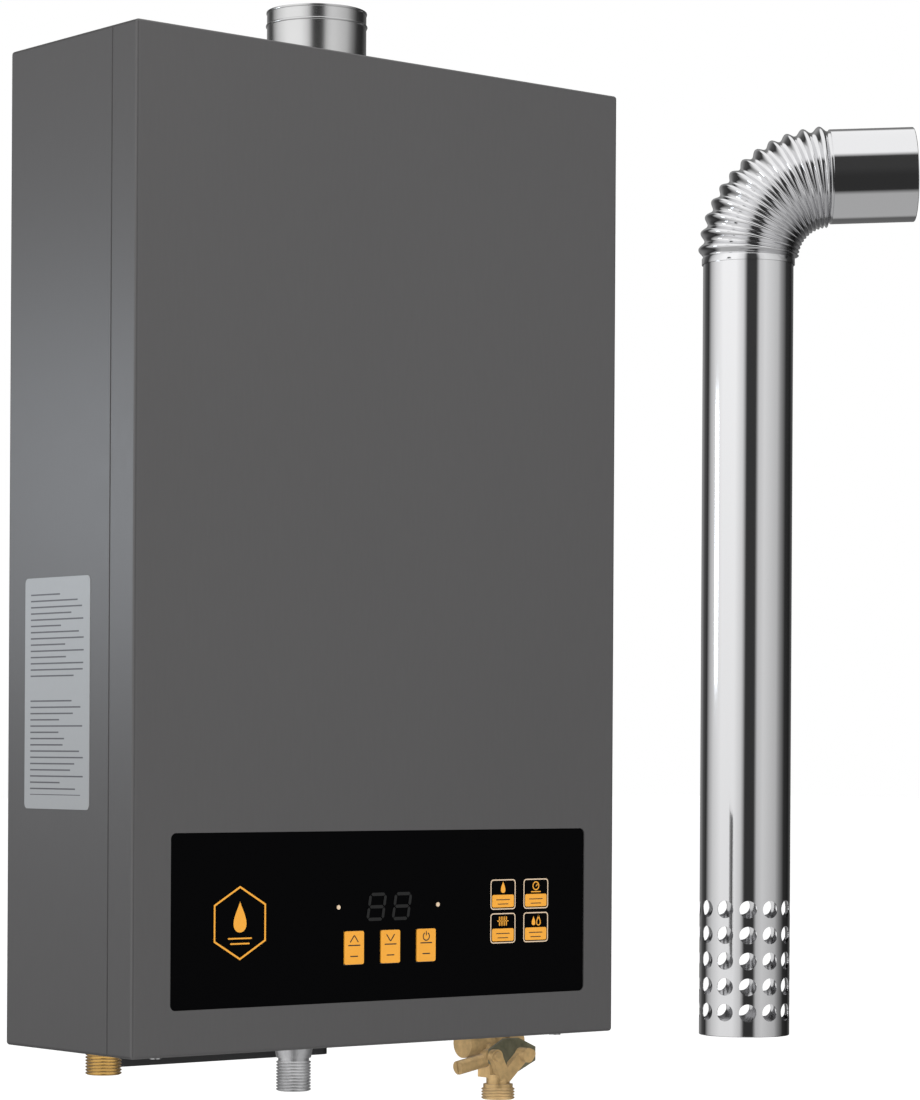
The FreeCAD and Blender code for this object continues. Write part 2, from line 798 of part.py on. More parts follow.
def panel_window():
    """Gloss panel in the cut-out, with a flange behind the sheet and openings for keys and lenses."""
    face = plate("PanelFace", ("panel_left + panel_clearance", "panel_right - panel_clearance"),
                 ("window_front", "cover_inside"),
                 ("panel_low + panel_clearance", "panel_high - panel_clearance"), "panel_corner")
    flange = plate("PanelFlange", ("panel_left - window_flange", "panel_right + window_flange"),
                   ("cover_inside", "window_back"),
                   ("panel_low - window_flange", "panel_high + window_flange"), "panel_corner")
    half, rise = "(key_width / 2 + panel_clearance)", "(key_height / 2 + panel_clearance)"
    openings = [plate("KeyHole", (f"{x} - {half}", f"{x} + {half}"), ("window_front - 1", "window_back + 1"),
                      (f"key_z - {rise}", f"key_z + {rise}"), "key_corner") for _, x in key_places()]
    openings += [rod("y", (x, "lens_z"), "window_front - 1", "window_back + 1", "lens_radius + 0.05")
                 for x in ("lens_left_x", "lens_right_x")]
    keep(cut(fuse(face, flange), *openings), "panel_window")


def panel_housing():
    """Frame behind the panel that carries the display board on four posts."""
    outer = block(("panel_left - window_flange", "panel_right + window_flange"),
                  ("window_back", "window_back + housing_depth"),
                  ("panel_low - window_flange", "panel_high + window_flange"))
    hollow = block(("panel_left - window_flange + housing_wall", "panel_right + window_flange - housing_wall"),
                   ("window_back - 1", "window_back + housing_depth - housing_wall"),
                   ("panel_low - window_flange + housing_wall", "panel_high + window_flange - housing_wall"))
    posts = [rod("y", (f"display_x + {x} * (board_width / 2 - post_inset)",
                       f"board_z + {z} * (board_height / 2 - post_inset)"),
                 "board_front + board_thickness", "window_back + housing_depth - housing_wall / 2",
                 "post_radius")
             for x in (-1, 1) for z in (-1, 1)]
    keep(fuse(cut(outer, hollow), *posts), "panel_housing")


def keys():
    """Three press keys, each with a flange behind the panel and a stem over its switch."""
    for name, x in key_places():
        cap = plate("Cap", (f"{x} - key_width / 2", f"{x} + key_width / 2"),
                    ("window_front - key_proud", "window_back"),
                    ("key_z - key_height / 2", "key_z + key_height / 2"), "key_corner")
        flange = block((f"{x} - key_width / 2 - key_flange", f"{x} + key_width / 2 + key_flange"),
                       ("window_back", "window_back + key_flange_thickness"),
                       ("key_z - key_height / 2 - key_flange", "key_z + key_height / 2 + key_flange"))
        stem = rod("y", (x, "key_z"), "window_back + key_flange_thickness",
                   "board_front - switch_height - plunger_height - key_travel - 0.1", "key_stem_radius")
        keep(fuse(cap, flange, stem), name)


def display_parts():
    """Digit display, switches, indicator lenses and the board that carries them."""
    keep(block(("display_x - display_width / 2", "display_x + display_width / 2"),
               ("board_front - display_depth", "board_front"),
               ("display_z - display_height / 2", "display_z + display_height / 2")), "display_module")
    keep(block(("display_x - board_width / 2", "display_x + board_width / 2"),
               ("board_front", "board_front + board_thickness"),
               ("board_z - board_height / 2", "board_z + board_height / 2")), "display_board")
    switches = []
    for _, x in key_places():
        case = block((f"{x} - switch_side / 2", f"{x} + switch_side / 2"),
                     ("board_front - switch_height", "board_front"),
                     ("key_z - switch_side / 2", "key_z + switch_side / 2"))
        button = rod("y", (x, "key_z"), "board_front - switch_height - plunger_height",
                     "board_front - switch_height", "plunger_radius")
        switches.append(fuse(case, button))
    keep(group(*switches), "tact_switches")
    lenses = [rod("y", (x, "lens_z"), "window_front - 0.1", "board_front", "lens_radius")
              for x in ("lens_left_x", "lens_right_x")]
    keep(group(*lenses), "indicator_lenses")


def bottom_tray():
    """Black plastic tray under the bottom, behind the gas inlet."""
    outer = block(("tray_left", "tray_right"), ("tray_front", "tray_back"),
                  ("bottom_z - tray_drop", "bottom_z"))
    rounded = doc.addObject("Part::Fillet", "TrayCorners")
    rounded.Base = outer
    doc.recompute()

    def upright(edge):
        return abs(edge.Vertexes[0].Z - edge.Vertexes[-1].Z) > 1e-6

    corner = number("tray_corner")
    rounded.Edges = [(index, corner, corner) for index, edge in enumerate(outer.Shape.Edges, 1)
                     if upright(edge)]
    hollow = block(("tray_left + tray_corner", "tray_right - tray_corner"),
                   ("tray_front + tray_wall", "tray_back - tray_wall"),
                   ("bottom_z - tray_drop + tray_wall", "bottom_z + 1"))
    keep(cut(rounded, hollow), "bottom_tray")


def cord_grommet():
    """Rubber gland for the mains lead."""
    centre = ("grommet_x", "grommet_y")
    body = fuse(rod("z", centre, "bottom_z - 4", "bottom_z", "grommet_radius"),
                rod("z", centre, "bottom_z", "inner_bottom", "grommet_radius - 2.3"),
                rod("z", centre, "inner_bottom", "inner_bottom + 3", "grommet_radius"))
    keep(cut(body, rod("z", centre, "bottom_z - 5", "inner_bottom + 4", "grommet_bore")), "cord_grommet")


def hot_outlet():
    """Brass outlet: thread below the case, hexagon on the bottom sheet, neck for the pipe nut."""
    x, y, low, high = numbers("hot_x", "hot_y", "bottom_z", "inner_bottom")
    thread = solid(threaded(x, y, low - number("hot_drop"), high))
    nut = hexagon(("hot_x", "hot_y"), "inner_bottom", "inner_bottom + hex_height", "hex_radius")
    neck = rod("z", ("hot_x", "hot_y"), "inner_bottom + hex_height", "neck_top", "neck_radius")
    bore = rod("z", ("hot_x", "hot_y"), "bottom_z - hot_drop - 1", "neck_top + 1", "pipe_bore")
    keep(cut(fuse(thread, nut, neck), bore), "hot_outlet_fitting")


def gas_inlet():
    """Cast inlet: thread, cone at the case, square flange inside and a neck to the valve."""
    centre = ("gas_x", "gas_y")
    x, y, low = numbers("gas_x", "gas_y", "bottom_z")
    drop, cone_height = numbers("gas_drop", "gas_cone_height")
    thread = solid(threaded(x, y, low - drop, low - cone_height))
    taper = cone("z", centre, "bottom_z - gas_cone_height", "bottom_z", "thread_radius", "gas_cone_radius")
    collar = rod("z", centre, "bottom_z", "inner_bottom", "gas_cone_radius")
    flange = block(("gas_x - gas_flange_side / 2", "gas_x + gas_flange_side / 2"),
                   ("gas_y - gas_flange_side / 2", "gas_y + gas_flange_side / 2"),
                   ("inner_bottom", "inner_bottom + gas_flange_thickness"))
    neck = rod("z", centre, "inner_bottom + gas_flange_thickness", "gas_block_low", "gas_cone_radius - 1")
    bore = rod("z", centre, "bottom_z - gas_drop - 1", "gas_block_low + 1", "pipe_bore")
    keep(cut(fuse(thread, taper, collar, flange, neck), bore), "gas_inlet_fitting")


def arm(x0, z0, x1, z1, width, low, high):
    """Flat bar in the plane of the front, between two points."""
    along = V(x1 - x0, 0, z1 - z0).normalize() * (width / 2)
    across = V(-along.z, 0, along.x)
    first, last = V(x0, low, z0), V(x1, low, z1)
    points = [first + across, last + across, last - across, first - across]
    return Part.Face(Part.makePolygon(points + points[:1])).extrude(V(0, high - low, 0))


CLAMP_SCREWS = (("lug_left_x", 0.1), ("lug_right_x", 8))


def cold_inlet():
    """Brass casting: thread, neck, two arms in front of the clamp plate and a cross barrel behind it."""
    x, y, low, neck_low, neck_high = numbers("cold_x", "cold_y", "cold_low", "cold_neck_low", "cold_neck_high")
    front, thickness, width, lug_z = numbers("clamp_front", "arm_thickness", "arm_width", "lug_z")
    gap = number("fit_clearance")
    arms = [arm(x, neck_high - 2, end, lug_z, width, front - gap - thickness, front - gap)
            for end in numbers("lug_left_x", "boss_x")]
    parts = [solid(threaded(x, y, low, neck_low)), solid(arms[0]), solid(arms[1])]
    centre = ("cold_x", "cold_y")
    arm_back, arm_front = "clamp_front - fit_clearance", "clamp_front - fit_clearance - arm_thickness"
    parts.append(rod("z", centre, "cold_neck_low", "cold_neck_high", "cold_neck_radius"))
    parts.append(rod("y", ("lug_left_x", "lug_z"), arm_front, arm_back, "lug_radius"))
    parts.append(rod("y", ("boss_x", "lug_z"), f"{arm_front} - 4", arm_back, "lug_radius + 0.2"))
    parts.append(block(("cold_x - cold_neck_radius", "cold_x + cold_neck_radius"),
                       ("clamp_back + fit_clearance", "cold_barrel_y"), ("cold_neck_high - 2", "barrel_z")))
    parts.append(rod("x", ("cold_barrel_y", "barrel_z"), "cold_barrel_left", "cold_barrel_right",
                     "cold_barrel_radius"))
    for lug in ("lug_left_x", "lug_right_x"):
        parts.append(rod("y", (lug, "lug_z"), "clamp_back", "cold_barrel_y", "lug_radius"))
    riser = ("riser_x", "cold_barrel_y")
    parts.append(rod("z", riser, "barrel_z", "inner_bottom", "riser_radius"))
    parts.append(rod("z", riser, "inner_bottom", "valve_low", "riser_flange_radius"))
    bores = [rod("z", centre, "cold_low - 1", "barrel_z", "pipe_bore"),
             rod("z", riser, "barrel_z", "valve_low + 1", "pipe_bore")]
    bores += [rod("y", (lug, "lug_z"), f"{arm_front} - 6", f"clamp_back + {depth} + 0.3",
                  "small_screw_radius + fit_clearance") for lug, depth in CLAMP_SCREWS]
    bores.append(drain_rod("drain_radius + fit_clearance", 7.0, 0.0))
    keep(cut(fuse(*parts), *bores), "cold_inlet_fitting")


def drain_rod(radius, start, end_extra):
    """Rod along the drain plug's axis."""
    cylinder = doc.addObject("Part::Cylinder", "DrainRod")
    bind(cylinder, Radius=radius, Height=f"drain_length + {start} + {end_extra}")
    tilt = number("drain_tilt")
    cylinder.Placement = FreeCAD.Placement(V(), FreeCAD.Rotation(V(0, 1, 0), -90 - tilt))
    return place(cylinder, f"drain_root_x + {start} * cos(drain_tilt)", "drain_y",
                 f"bottom_z - drain_drop + {start} * sin(drain_tilt)")


def cold_inlet_trim():
    """Clamp plate with its screws, filter cap and drain plug of the cold inlet."""
    front, back, lug_z = numbers("clamp_front", "clamp_back", "lug_z")
    left, right, width, height = numbers("lug_left_x", "lug_right_x", "clamp_top_width", "clamp_height")
    middle, round_end = (left + right) / 2, number("lug_radius")
    half = height / 2
    outline = [V(middle - width / 2, front, lug_z + half), V(middle + width / 2, front, lug_z + half),
               V(right + round_end, front, lug_z + round_end), V(right + round_end, front, lug_z - round_end),
               V(middle + width / 2, front, lug_z - half), V(middle - width / 2, front, lug_z - half),
               V(left - round_end / 2, front, lug_z - round_end),
               V(left - round_end / 2, front, lug_z + round_end)]
    blank = solid(Part.Face(Part.makePolygon(outline + outline[:1])).extrude(V(0, back - front, 0)))
    holes = [rod("y", (lug, "lug_z"), "clamp_front - 1", "clamp_back + 1",
                 "small_screw_radius + fit_clearance") for lug, _ in CLAMP_SCREWS]
    keep(cut(blank, *holes), "clamp_plate")
    screws = []
    seats = ("clamp_front - fit_clearance - arm_thickness", "clamp_front")
    for (lug, depth), seat in zip(CLAMP_SCREWS, seats):
        head = rod("y", (lug, "lug_z"), f"{seat} - small_head_height", seat, "small_head_radius")
        stem = rod("y", (lug, "lug_z"), seat, f"clamp_back + {depth}", "small_screw_radius")
        screws.append(fuse(head, stem))
    keep(group(*screws), "clamp_screws")
    keep(rod("x", ("cold_barrel_y", "barrel_z"), "cold_barrel_left - filter_cap_length", "cold_barrel_left",
             "cold_barrel_radius + 0.4"), "filter_cap")
    plug = drain_rod("drain_radius", 6.0, -1.0)
    doc.recompute()
    axis = V(-math.cos(math.radians(number("drain_tilt"))), 0, -math.sin(math.radians(number("drain_tilt"))))
    root = V(number("drain_root_x"), number("drain_y"), number("bottom_z") - number("drain_drop"))
    tip = root + axis * (number("drain_length") - 1)
    slot = Part.makeBox(2 * number("drain_slot_depth"), number("drain_slot_width"), 20,
                        V(-number("drain_slot_depth"), -number("drain_slot_width") / 2, -10))
    slot.Placement = FreeCAD.Placement(tip, FreeCAD.Rotation(V(0, 1, 0), -number("drain_tilt")))
    keep(cut(plug, solid(slot)), "drain_plug")


def water_valve():
    """Valve body on the riser, with the flow turbine in its bore."""
    centre = ("riser_x", "cold_barrel_y")
    body = fuse(rod("z", centre, "valve_low", "valve_high", "valve_radius"),
                rod("z", centre, "valve_low", "valve_low + 6", "riser_flange_radius"),
                block(("riser_x - valve_radius", "riser_x + valve_radius"),
                      ("cold_barrel_y - valve_radius - 3", "cold_barrel_y"),
                      ("valve_low + turbine_lift - 4", "valve_low + turbine_lift + turbine_length + 4")))
    chamber = rod("z", centre, "valve_low - 1", "valve_high - 8", "valve_bore")
    throat = rod("z", centre, "valve_high - 9", "valve_high + 1", "pipe_bore")
    keep(cut(body, chamber, throat), "water_valve_body")
    low, high = "valve_low + turbine_lift", "valve_low + turbine_lift + turbine_length"
    hub = rod("z", centre, low, high, "turbine_hub_radius")
    blades = []
    for step in range(3):
        blade = block(("riser_x - valve_bore + turbine_clearance", "riser_x + valve_bore - turbine_clearance"),
                      ("cold_barrel_y - turbine_blade / 2", "cold_barrel_y + turbine_blade / 2"), (low, high))
        doc.recompute()
        turned_blade = blade.Shape.copy()
        turned_blade.rotate(V(number("riser_x"), number("cold_barrel_y"), 0), V(0, 0, 1), 60 * step)
        blades.append(solid(turned_blade))
    bore = rod("z", centre, f"{low} - 1", f"{high} + 1", "axle_radius + axle_clearance")
    keep(cut(fuse(hub, *blades), bore), "flow_turbine")
    pin = rod("z", centre, f"{low} - 4", f"{high} + 4", "axle_radius")
    spiders = []
    for start in (f"{low} - 4", f"{high} + 2.5"):
        spiders.append(block(("riser_x - valve_bore + 0.3", "riser_x + valve_bore - 0.3"),
                             ("cold_barrel_y - 1.5", "cold_barrel_y + 1.5"), (start, f"{start} + 1.5")))
    keep(fuse(pin, *spiders), "turbine_axle")


def water_pipes():
    """Cold pipe up to the exchanger, hot pipe down to the outlet, and the nuts at their ends."""
    radius, wall, bend = numbers("water_pipe_radius", "water_pipe_wall", "pipe_bend")
    end_x, tube_z, first_y, last_y = numbers("tube_end_x", "tube_z", "tube_first_y", "tube_last_y")
    cold_x, cold_y, valve_top = numbers("riser_x", "cold_barrel_y", "valve_high")
    cold = [V(cold_x, cold_y, valve_top), V(cold_x, cold_y, tube_z - 45), V(cold_x, first_y, tube_z),
            V(end_x, first_y, tube_z)]
    keep(solid(bent_pipe(cold, radius, wall, bend)), "cold_water_pipe")
    hot_x, hot_y, neck_top = numbers("hot_x", "hot_y", "neck_top")
    hot = [V(-end_x, last_y, tube_z), V(hot_x, last_y, tube_z), V(hot_x, hot_y, tube_z - 52),
           V(hot_x, hot_y, neck_top)]
    keep(solid(bent_pipe(hot, radius, wall, bend)), "hot_water_pipe")
    bore = "water_pipe_radius + 0.15"
    nuts = [cut(hexagon(centre, low, f"{low} + nut_height", "nut_radius"),
                rod("z", centre, f"{low} - 1", f"{low} + nut_height + 1", bore))
            for centre, low in ((("hot_x", "hot_y"), "neck_top"),
                                (("riser_x", "cold_barrel_y"), "valve_high"))]
    keep(group(*nuts), "pipe_nuts")


def exchanger():
    """Copper chamber shell, the fins in its upper part and the tube that winds through them."""
    shell = cut(block(("-chamber_x", "chamber_x"), ("chamber_front", "chamber_back"),
                      ("chamber_bottom", "chamber_top")),
                block(("-chamber_inner_x", "chamber_inner_x"), ("chamber_inner_front", "chamber_inner_back"),
                      ("chamber_bottom - 1", "chamber_top + 1")))
    runs = [f"tube_first_y - {step} * tube_pitch" for step in range(int(number("tube_run_count")))]
    holes = [rod("x", (run, "tube_z"), "-chamber_x - 1", "chamber_x + 1", "water_pipe_radius + 0.1")
             for run in runs]
    holes += [rod("y", (x, "electrode_z"), "chamber_front - 1", "chamber_front + 3", "ceramic_radius + 0.2")
              for x in electrode_places()]
    keep(cut(shell, *holes), "chamber_shell")
    fins()
    path = exchanger_path()
    radius, wall = numbers("water_pipe_radius", "water_pipe_wall")
    keep(solid(swept(path, radius).cut(swept(path, radius - wall))), "exchanger_tubes")


def exchanger_path():
    """Winding path of the exchanger's tube, from the right end to the left end."""
    reach, last_reach, level = numbers("chamber_x", "tube_end_x", "tube_z")
    pitch, first_y, count = number("tube_pitch"), number("tube_first_y"), int(number("tube_run_count"))
    edges = []
    start, side = V(last_reach, first_y, level), -1
    for step in range(count):
        y = first_y - step * pitch
        final = step == count - 1
        end = V(side * (last_reach if final else reach + 2), y, level)
        edges.append(Part.LineSegment(start, end).toShape())
        if not final:
            middle = V(end.x + side * pitch / 2, y - pitch / 2, level)
            start = V(end.x, y - pitch, level)
            edges.append(Part.Arc(end, middle, start).toShape())
        side = -side
    return Part.Wire(edges)


def fins():
    """Row of thin copper fins on the exchanger's tube."""
    back, front, level = numbers("chamber_inner_back", "chamber_inner_front", "tube_z")
    height, thickness, pitch, count = numbers("fin_height", "fin_thickness", "fin_pitch", "fin_count")
    radius = number("water_pipe_radius") + 0.05
    blank = Part.makeBox(thickness, back - front, height, V(-thickness / 2, front, level - height / 2))
    for step in range(int(number("tube_run_count"))):
        y = number("tube_first_y") - step * number("tube_pitch")
        blank = blank.cut(Part.makeCylinder(radius, 4 * thickness, V(-2 * thickness, y, level), V(1, 0, 0)))
    row = []
    for step in range(int(count)):
        fin = blank.copy()
        fin.translate(V((step - (count - 1) / 2) * pitch, 0, 0))
        row.append(fin)
    keep(solid(Part.makeCompound(row)), "exchanger_fins")


def burner_places():
    """Middles of the burner bars."""
    count = int(number("burner_count"))
    return [f"({step - (count - 1) / 2} * burner_pitch)" for step in range(count)]


def burners():
    """Tray under the chamber, its burner bars, and the gas manifold with its jets."""
    frame = cut(block(("-chamber_x", "chamber_x"), ("chamber_front", "chamber_back"),
                      ("tray_bottom", "chamber_bottom")),
                block(("-chamber_inner_x", "chamber_inner_x"), ("chamber_inner_front", "chamber_inner_back"),
                      ("tray_bottom - 1", "chamber_bottom + 1")),
                *[rod("y", (x, "jet_z"), "chamber_front - 1", "chamber_front + 3", "tray_port_radius")
                  for x in burner_places()])
    keep(frame, "burner_tray")
    bars = []
    for x in burner_places():
        top = "chamber_bottom - burner_drop"
        bar = block((f"{x} - burner_thickness / 2", f"{x} + burner_thickness / 2"),
                    ("chamber_inner_front", "chamber_inner_back"), (f"{top} - burner_height", top))
        slot = block((f"{x} - burner_slot / 2", f"{x} + burner_slot / 2"),
                     ("chamber_inner_front + burner_drop", "chamber_inner_back - burner_drop"),
                     (f"{top} - burner_slot_depth", f"{top} + 1"))
        throat = rod("y", (x, "jet_z"), "chamber_inner_front - 1", "chamber_inner_front + burner_throat",
                     "burner_thickness / 2 - burner_wall")
        bars.append(cut(bar, slot, throat))
    keep(group(*bars), "burner_bars")
    rail = block(("-chamber_x + 6", "chamber_x - 6"), ("manifold_front", "manifold_back"),
                 ("manifold_low", "manifold_low + manifold_height"))
    lugs = [block((f"{side} * (chamber_x - 9) - 3", f"{side} * (chamber_x - 9) + 3"),
                  ("manifold_front", "chamber_front"), ("manifold_low", "manifold_low + manifold_height"))
            for side in (-1, 1)]
    jets = [rod("y", (x, "jet_z"), "manifold_back", "chamber_front - jet_gap", "jet_radius")
            for x in burner_places()]
    keep(fuse(rail, *lugs, *jets), "gas_manifold")


def gas_train():
    """Gas valve with its two coils, the plunger that seals it, and the pipe to the manifold."""
    body = block(("gas_x - gas_block_width / 2", "gas_x + gas_block_width / 2"),
                 ("gas_block_front", "gas_block_front + gas_block_depth"), ("gas_block_low", "gas_block_high"))
    seat = rod("y", ("coil_left", "coil_z"), "gas_block_front - 1", "gas_block_front + seat_depth",
               "seat_radius")
    keep(cut(body, seat), "gas_valve_body")
    coils = []
    for x in ("coil_left", "coil_right"):
        winding = rod("y", (x, "coil_z"), "gas_block_front - coil_length", "gas_block_front", "coil_radius")
        yoke = block((f"{x} - coil_radius - 1", f"{x} + coil_radius + 1"),
                     ("gas_block_front - 2", "gas_block_front"),
                     ("coil_z - coil_radius - 4", "coil_z + coil_radius + 4"))
        coil = fuse(winding, yoke)
        bore = rod("y", (x, "coil_z"), "gas_block_front - coil_length - 1", "gas_block_front + 1",
                   "plunger_rod_radius + plunger_rod_clearance")
        coils.append(cut(coil, bore))
    keep(group(*coils), "solenoid_coils")
    seat_face = "gas_block_front + seat_depth"
    disc = rod("y", ("coil_left", "coil_z"), f"{seat_face} - plunger_disc_thickness", seat_face,
               "plunger_disc_radius")
    stem = rod("y", ("coil_left", "coil_z"), "gas_block_front - coil_length + 6",
               f"{seat_face} - plunger_disc_thickness", "plunger_rod_radius")
    keep(fuse(disc, stem), "gas_plunger")
    gas_x, gas_y, top, front = numbers("gas_x", "gas_y", "gas_block_high", "manifold_front")
    bottom, thickness = numbers("manifold_low", "manifold_thickness")
    middle_y = front + thickness / 2
    route = [V(gas_x, gas_y, top), V(gas_x, gas_y, bottom - 40), V(gas_x, middle_y, bottom - 20),
             V(gas_x, middle_y, bottom)]
    radius = number("gas_pipe_radius")
    keep(solid(bent_pipe(route, radius, number("water_pipe_wall"), number("pipe_bend"))), "gas_riser")


def electrode_places():
    """Middles of the two igniter electrodes and of the flame sensor."""
    return ["igniter_x - spark_gap", "igniter_x + spark_gap + 4", "sensor_x"]


def electrodes():
    """Spark electrodes and flame sensor, each a wire in a flanged ceramic tube."""
    made = []
    for x in electrode_places():
        centre = (x, "electrode_z")
        ceramic = fuse(rod("y", centre, "chamber_front - ceramic_length", "chamber_front + 6",
                           "ceramic_radius"),
                       rod("y", centre, "chamber_front - 3", "chamber_front", "ceramic_flange_radius"))
        wire = rod("y", centre, "chamber_front - ceramic_length - 4", "chamber_front + electrode_reach",
                   "electrode_radius")
        made.append(fuse(ceramic, wire))
    keep(group(*made[:2]), "igniter_electrodes")
    keep(made[2], "flame_sensor")


def brackets():
    """Four folded brackets between the back of the case and the chamber."""
    made = []
    for x in ("-bracket_x", "bracket_x"):
        for z in ("chamber_bottom + 22", "chamber_top - 60"):
            left, right = f"{x} - bracket_width / 2", f"{x} + bracket_width / 2"
            wall = block((left, right), ("inner_back - bracket_sheet", "inner_back"),
                         (z, f"{z} + bracket_width"))
            foot = block((left, right), ("chamber_back", "chamber_back + bracket_sheet"),
                         (f"{z} - bracket_width", z))
            web = block((left, right), ("chamber_back", "inner_back"), (f"{z} - bracket_sheet", z))
            fold = block((left, right), ("inner_back - bracket_sheet", "inner_back"),
                         (f"{z} - bracket_sheet", f"{z} + 1"))
            made.append(fuse(wall, foot, web, fold))
    keep(group(*made), "chamber_brackets")


def smoke_hood():
    """Hood over the exchanger with a riser behind the fan."""
    outer = fuse(block(("-chamber_x", "chamber_x"), ("chamber_front", "hood_back"),
                       ("chamber_top", "hood_top")),
                 block(("riser_left", "riser_right"), ("riser_front", "hood_back"),
                       ("hood_top", "riser_top")))
    inner = fuse(block(("-chamber_x + hood_sheet", "chamber_x - hood_sheet"),
                       ("chamber_front + hood_sheet", "hood_back - hood_sheet"),
                       ("chamber_top + hood_sheet", "hood_top - hood_sheet")),
                 block(("riser_left + hood_sheet", "riser_right - hood_sheet"),
                       ("riser_front + hood_sheet", "hood_back - hood_sheet"),
                       ("hood_top - hood_sheet - 1", "riser_top - hood_sheet")))
    mouth = block(("-chamber_inner_x", "chamber_inner_x"), ("chamber_inner_front", "chamber_inner_back"),
                  ("chamber_top - 1", "chamber_top + 2"))
    port = rod("y", ("fan_x", "fan_z"), "riser_front - 1", "riser_front + 3", "fan_inlet_radius")
    keep(cut(outer, inner, mouth, port), "smoke_hood")


def scroll(shrink, low, high):
    """Scroll outline of the fan housing, grown by equal steps, as a solid between two planes."""
    fan_x, fan_z, wheel, gap = numbers("fan_x", "fan_z", "fan_radius", "fan_gap")
    growth, top = number("scroll_growth"), number("inner_top")
    first = wheel + gap - shrink
    x, z = fan_x - growth / 2, fan_z - growth / 2
    tongue = V(x, low, z + first)
    left = V(x - first, low, z)
    second = first + growth
    bottom = V(x + growth, low, z - second)
    third = second + growth
    right = V(x + growth + third, low, z + growth)
    diagonal = math.sqrt(0.5)
    arcs = [Part.Arc(tongue, V(x - first * diagonal, low, z + first * diagonal), left),
            Part.Arc(left, V(x + growth - second * diagonal, low, z - second * diagonal), bottom),
            Part.Arc(bottom, V(x + growth + third * diagonal, low, z + growth - third * diagonal), right)]
    if shrink:
        top += 1
    upper_right, upper_left = V(right.x, low, top), V(x + shrink, low, top)
    corner = V(x + shrink, low, tongue.z)
    edges = [arc.toShape() for arc in arcs]
    edges += [Part.makeLine(right, upper_right), Part.makeLine(upper_right, upper_left)]
    edges.append(Part.makeLine(upper_left, corner))
    if shrink:
        edges.append(Part.makeLine(corner, tongue))
    return Part.Face(Part.Wire(edges)).extrude(V(0, high - low, 0))


def fan():
    """Scroll housing, wheel on its shaft, and the motor that carries the shaft."""
    front, back, sheet = numbers("scroll_front", "scroll_back", "scroll_sheet")
    shell = cut(solid(scroll(0, front, back)), solid(scroll(sheet, front + sheet, back - sheet)),
                rod("y", ("fan_x", "fan_z"), "scroll_back - 3", "scroll_back + 1", "fan_inlet_radius"),
                rod("y", ("fan_x", "fan_z"), "scroll_front - 1", "scroll_front + 3", "fan_hub_radius + 2"))
    keep(shell, "fan_housing")
    disc_y, length, disc = numbers("fan_disc_y", "fan_blade_length", "fan_disc")
    wheel, depth, thickness = numbers("fan_radius", "fan_blade_depth", "fan_blade_thickness")
    fan_x, fan_z = numbers("fan_x", "fan_z")
    blade = Part.makeBox(depth, length, thickness, V(wheel - depth - 0.5, disc_y, 0))
    blade.rotate(V(wheel - 0.5, 0, 0), V(0, 1, 0), 25)
    pieces = []
    count = int(number("fan_blade_count"))
    for step in range(count):
        copy = blade.copy()
        copy.rotate(V(), V(0, 1, 0), 360 * step / count)
        copy.translate(V(fan_x, 0, fan_z))
        pieces.append(copy)
    centre = ("fan_x", "fan_z")
    back_disc = rod("y", centre, "fan_disc_y", "fan_disc_y + fan_disc", "fan_radius")
    ring = tube("y", centre, "fan_disc_y + fan_blade_length - fan_disc", "fan_disc_y + fan_blade_length",
                "fan_radius", "fan_radius - 9")
    hub = rod("y", centre, "fan_disc_y", "fan_disc_y + fan_hub_length", "fan_hub_radius")
    bore = rod("y", centre, "fan_disc_y - 1", "fan_disc_y + fan_hub_length + 1", "fan_shaft_radius")
    keep(cut(fuse(back_disc, ring, hub, *[solid(piece) for piece in pieces]), bore), "fan_impeller")
    keep(rod("y", centre, "shaft_front", "fan_disc_y + fan_hub_length", "fan_shaft_radius"), "fan_shaft")
    case = fuse(rod("y", centre, "scroll_front - motor_length", "scroll_front", "motor_radius"),
                block(("fan_x - motor_radius - 8", "fan_x + motor_radius + 8"),
                      ("scroll_front - 2", "scroll_front"), ("fan_z - 8", "fan_z + 8")))
    bearing = rod("y", centre, "shaft_front - 0.5", "scroll_front + 1",
                  "fan_shaft_radius + motor_bearing_clearance")
    keep(cut(case, bearing), "fan_motor")


def pressure_switch():
    """Air pressure switch on the back wall, with its hose to the fan outlet."""
    centre = ("pressure_x", "pressure_z")
    front = "inner_back - pressure_depth"
    body = fuse(rod("y", centre, front, "inner_back", "pressure_radius"),
                rod("y", centre, f"{front} - 5", front, "pressure_radius / 2"),
                rod("x", ("inner_back - pressure_depth / 2 - 2", "pressure_z"), "pressure_x - pressure_radius - 3",
                    "pressure_x", "hose_radius"))
    keep(body, "air_pressure_switch")
    start_x = number("pressure_x") - number("pressure_radius") - 3
    y = number("inner_back") - number("pressure_depth") / 2 - 2
    wall_x = sum(numbers("fan_x", "fan_radius", "fan_gap")) + 2.5 * number("scroll_growth")
    level = number("pressure_z")
    route = [V(start_x, y, level), V(start_x - 22, y, level), V(start_x - 22, number("flue_y"), level + 38),
             V(wall_x, number("flue_y"), level + 38)]
    keep(solid(bent_pipe(route, number("hose_radius"), 1.2, 9.0)), "pressure_tube")


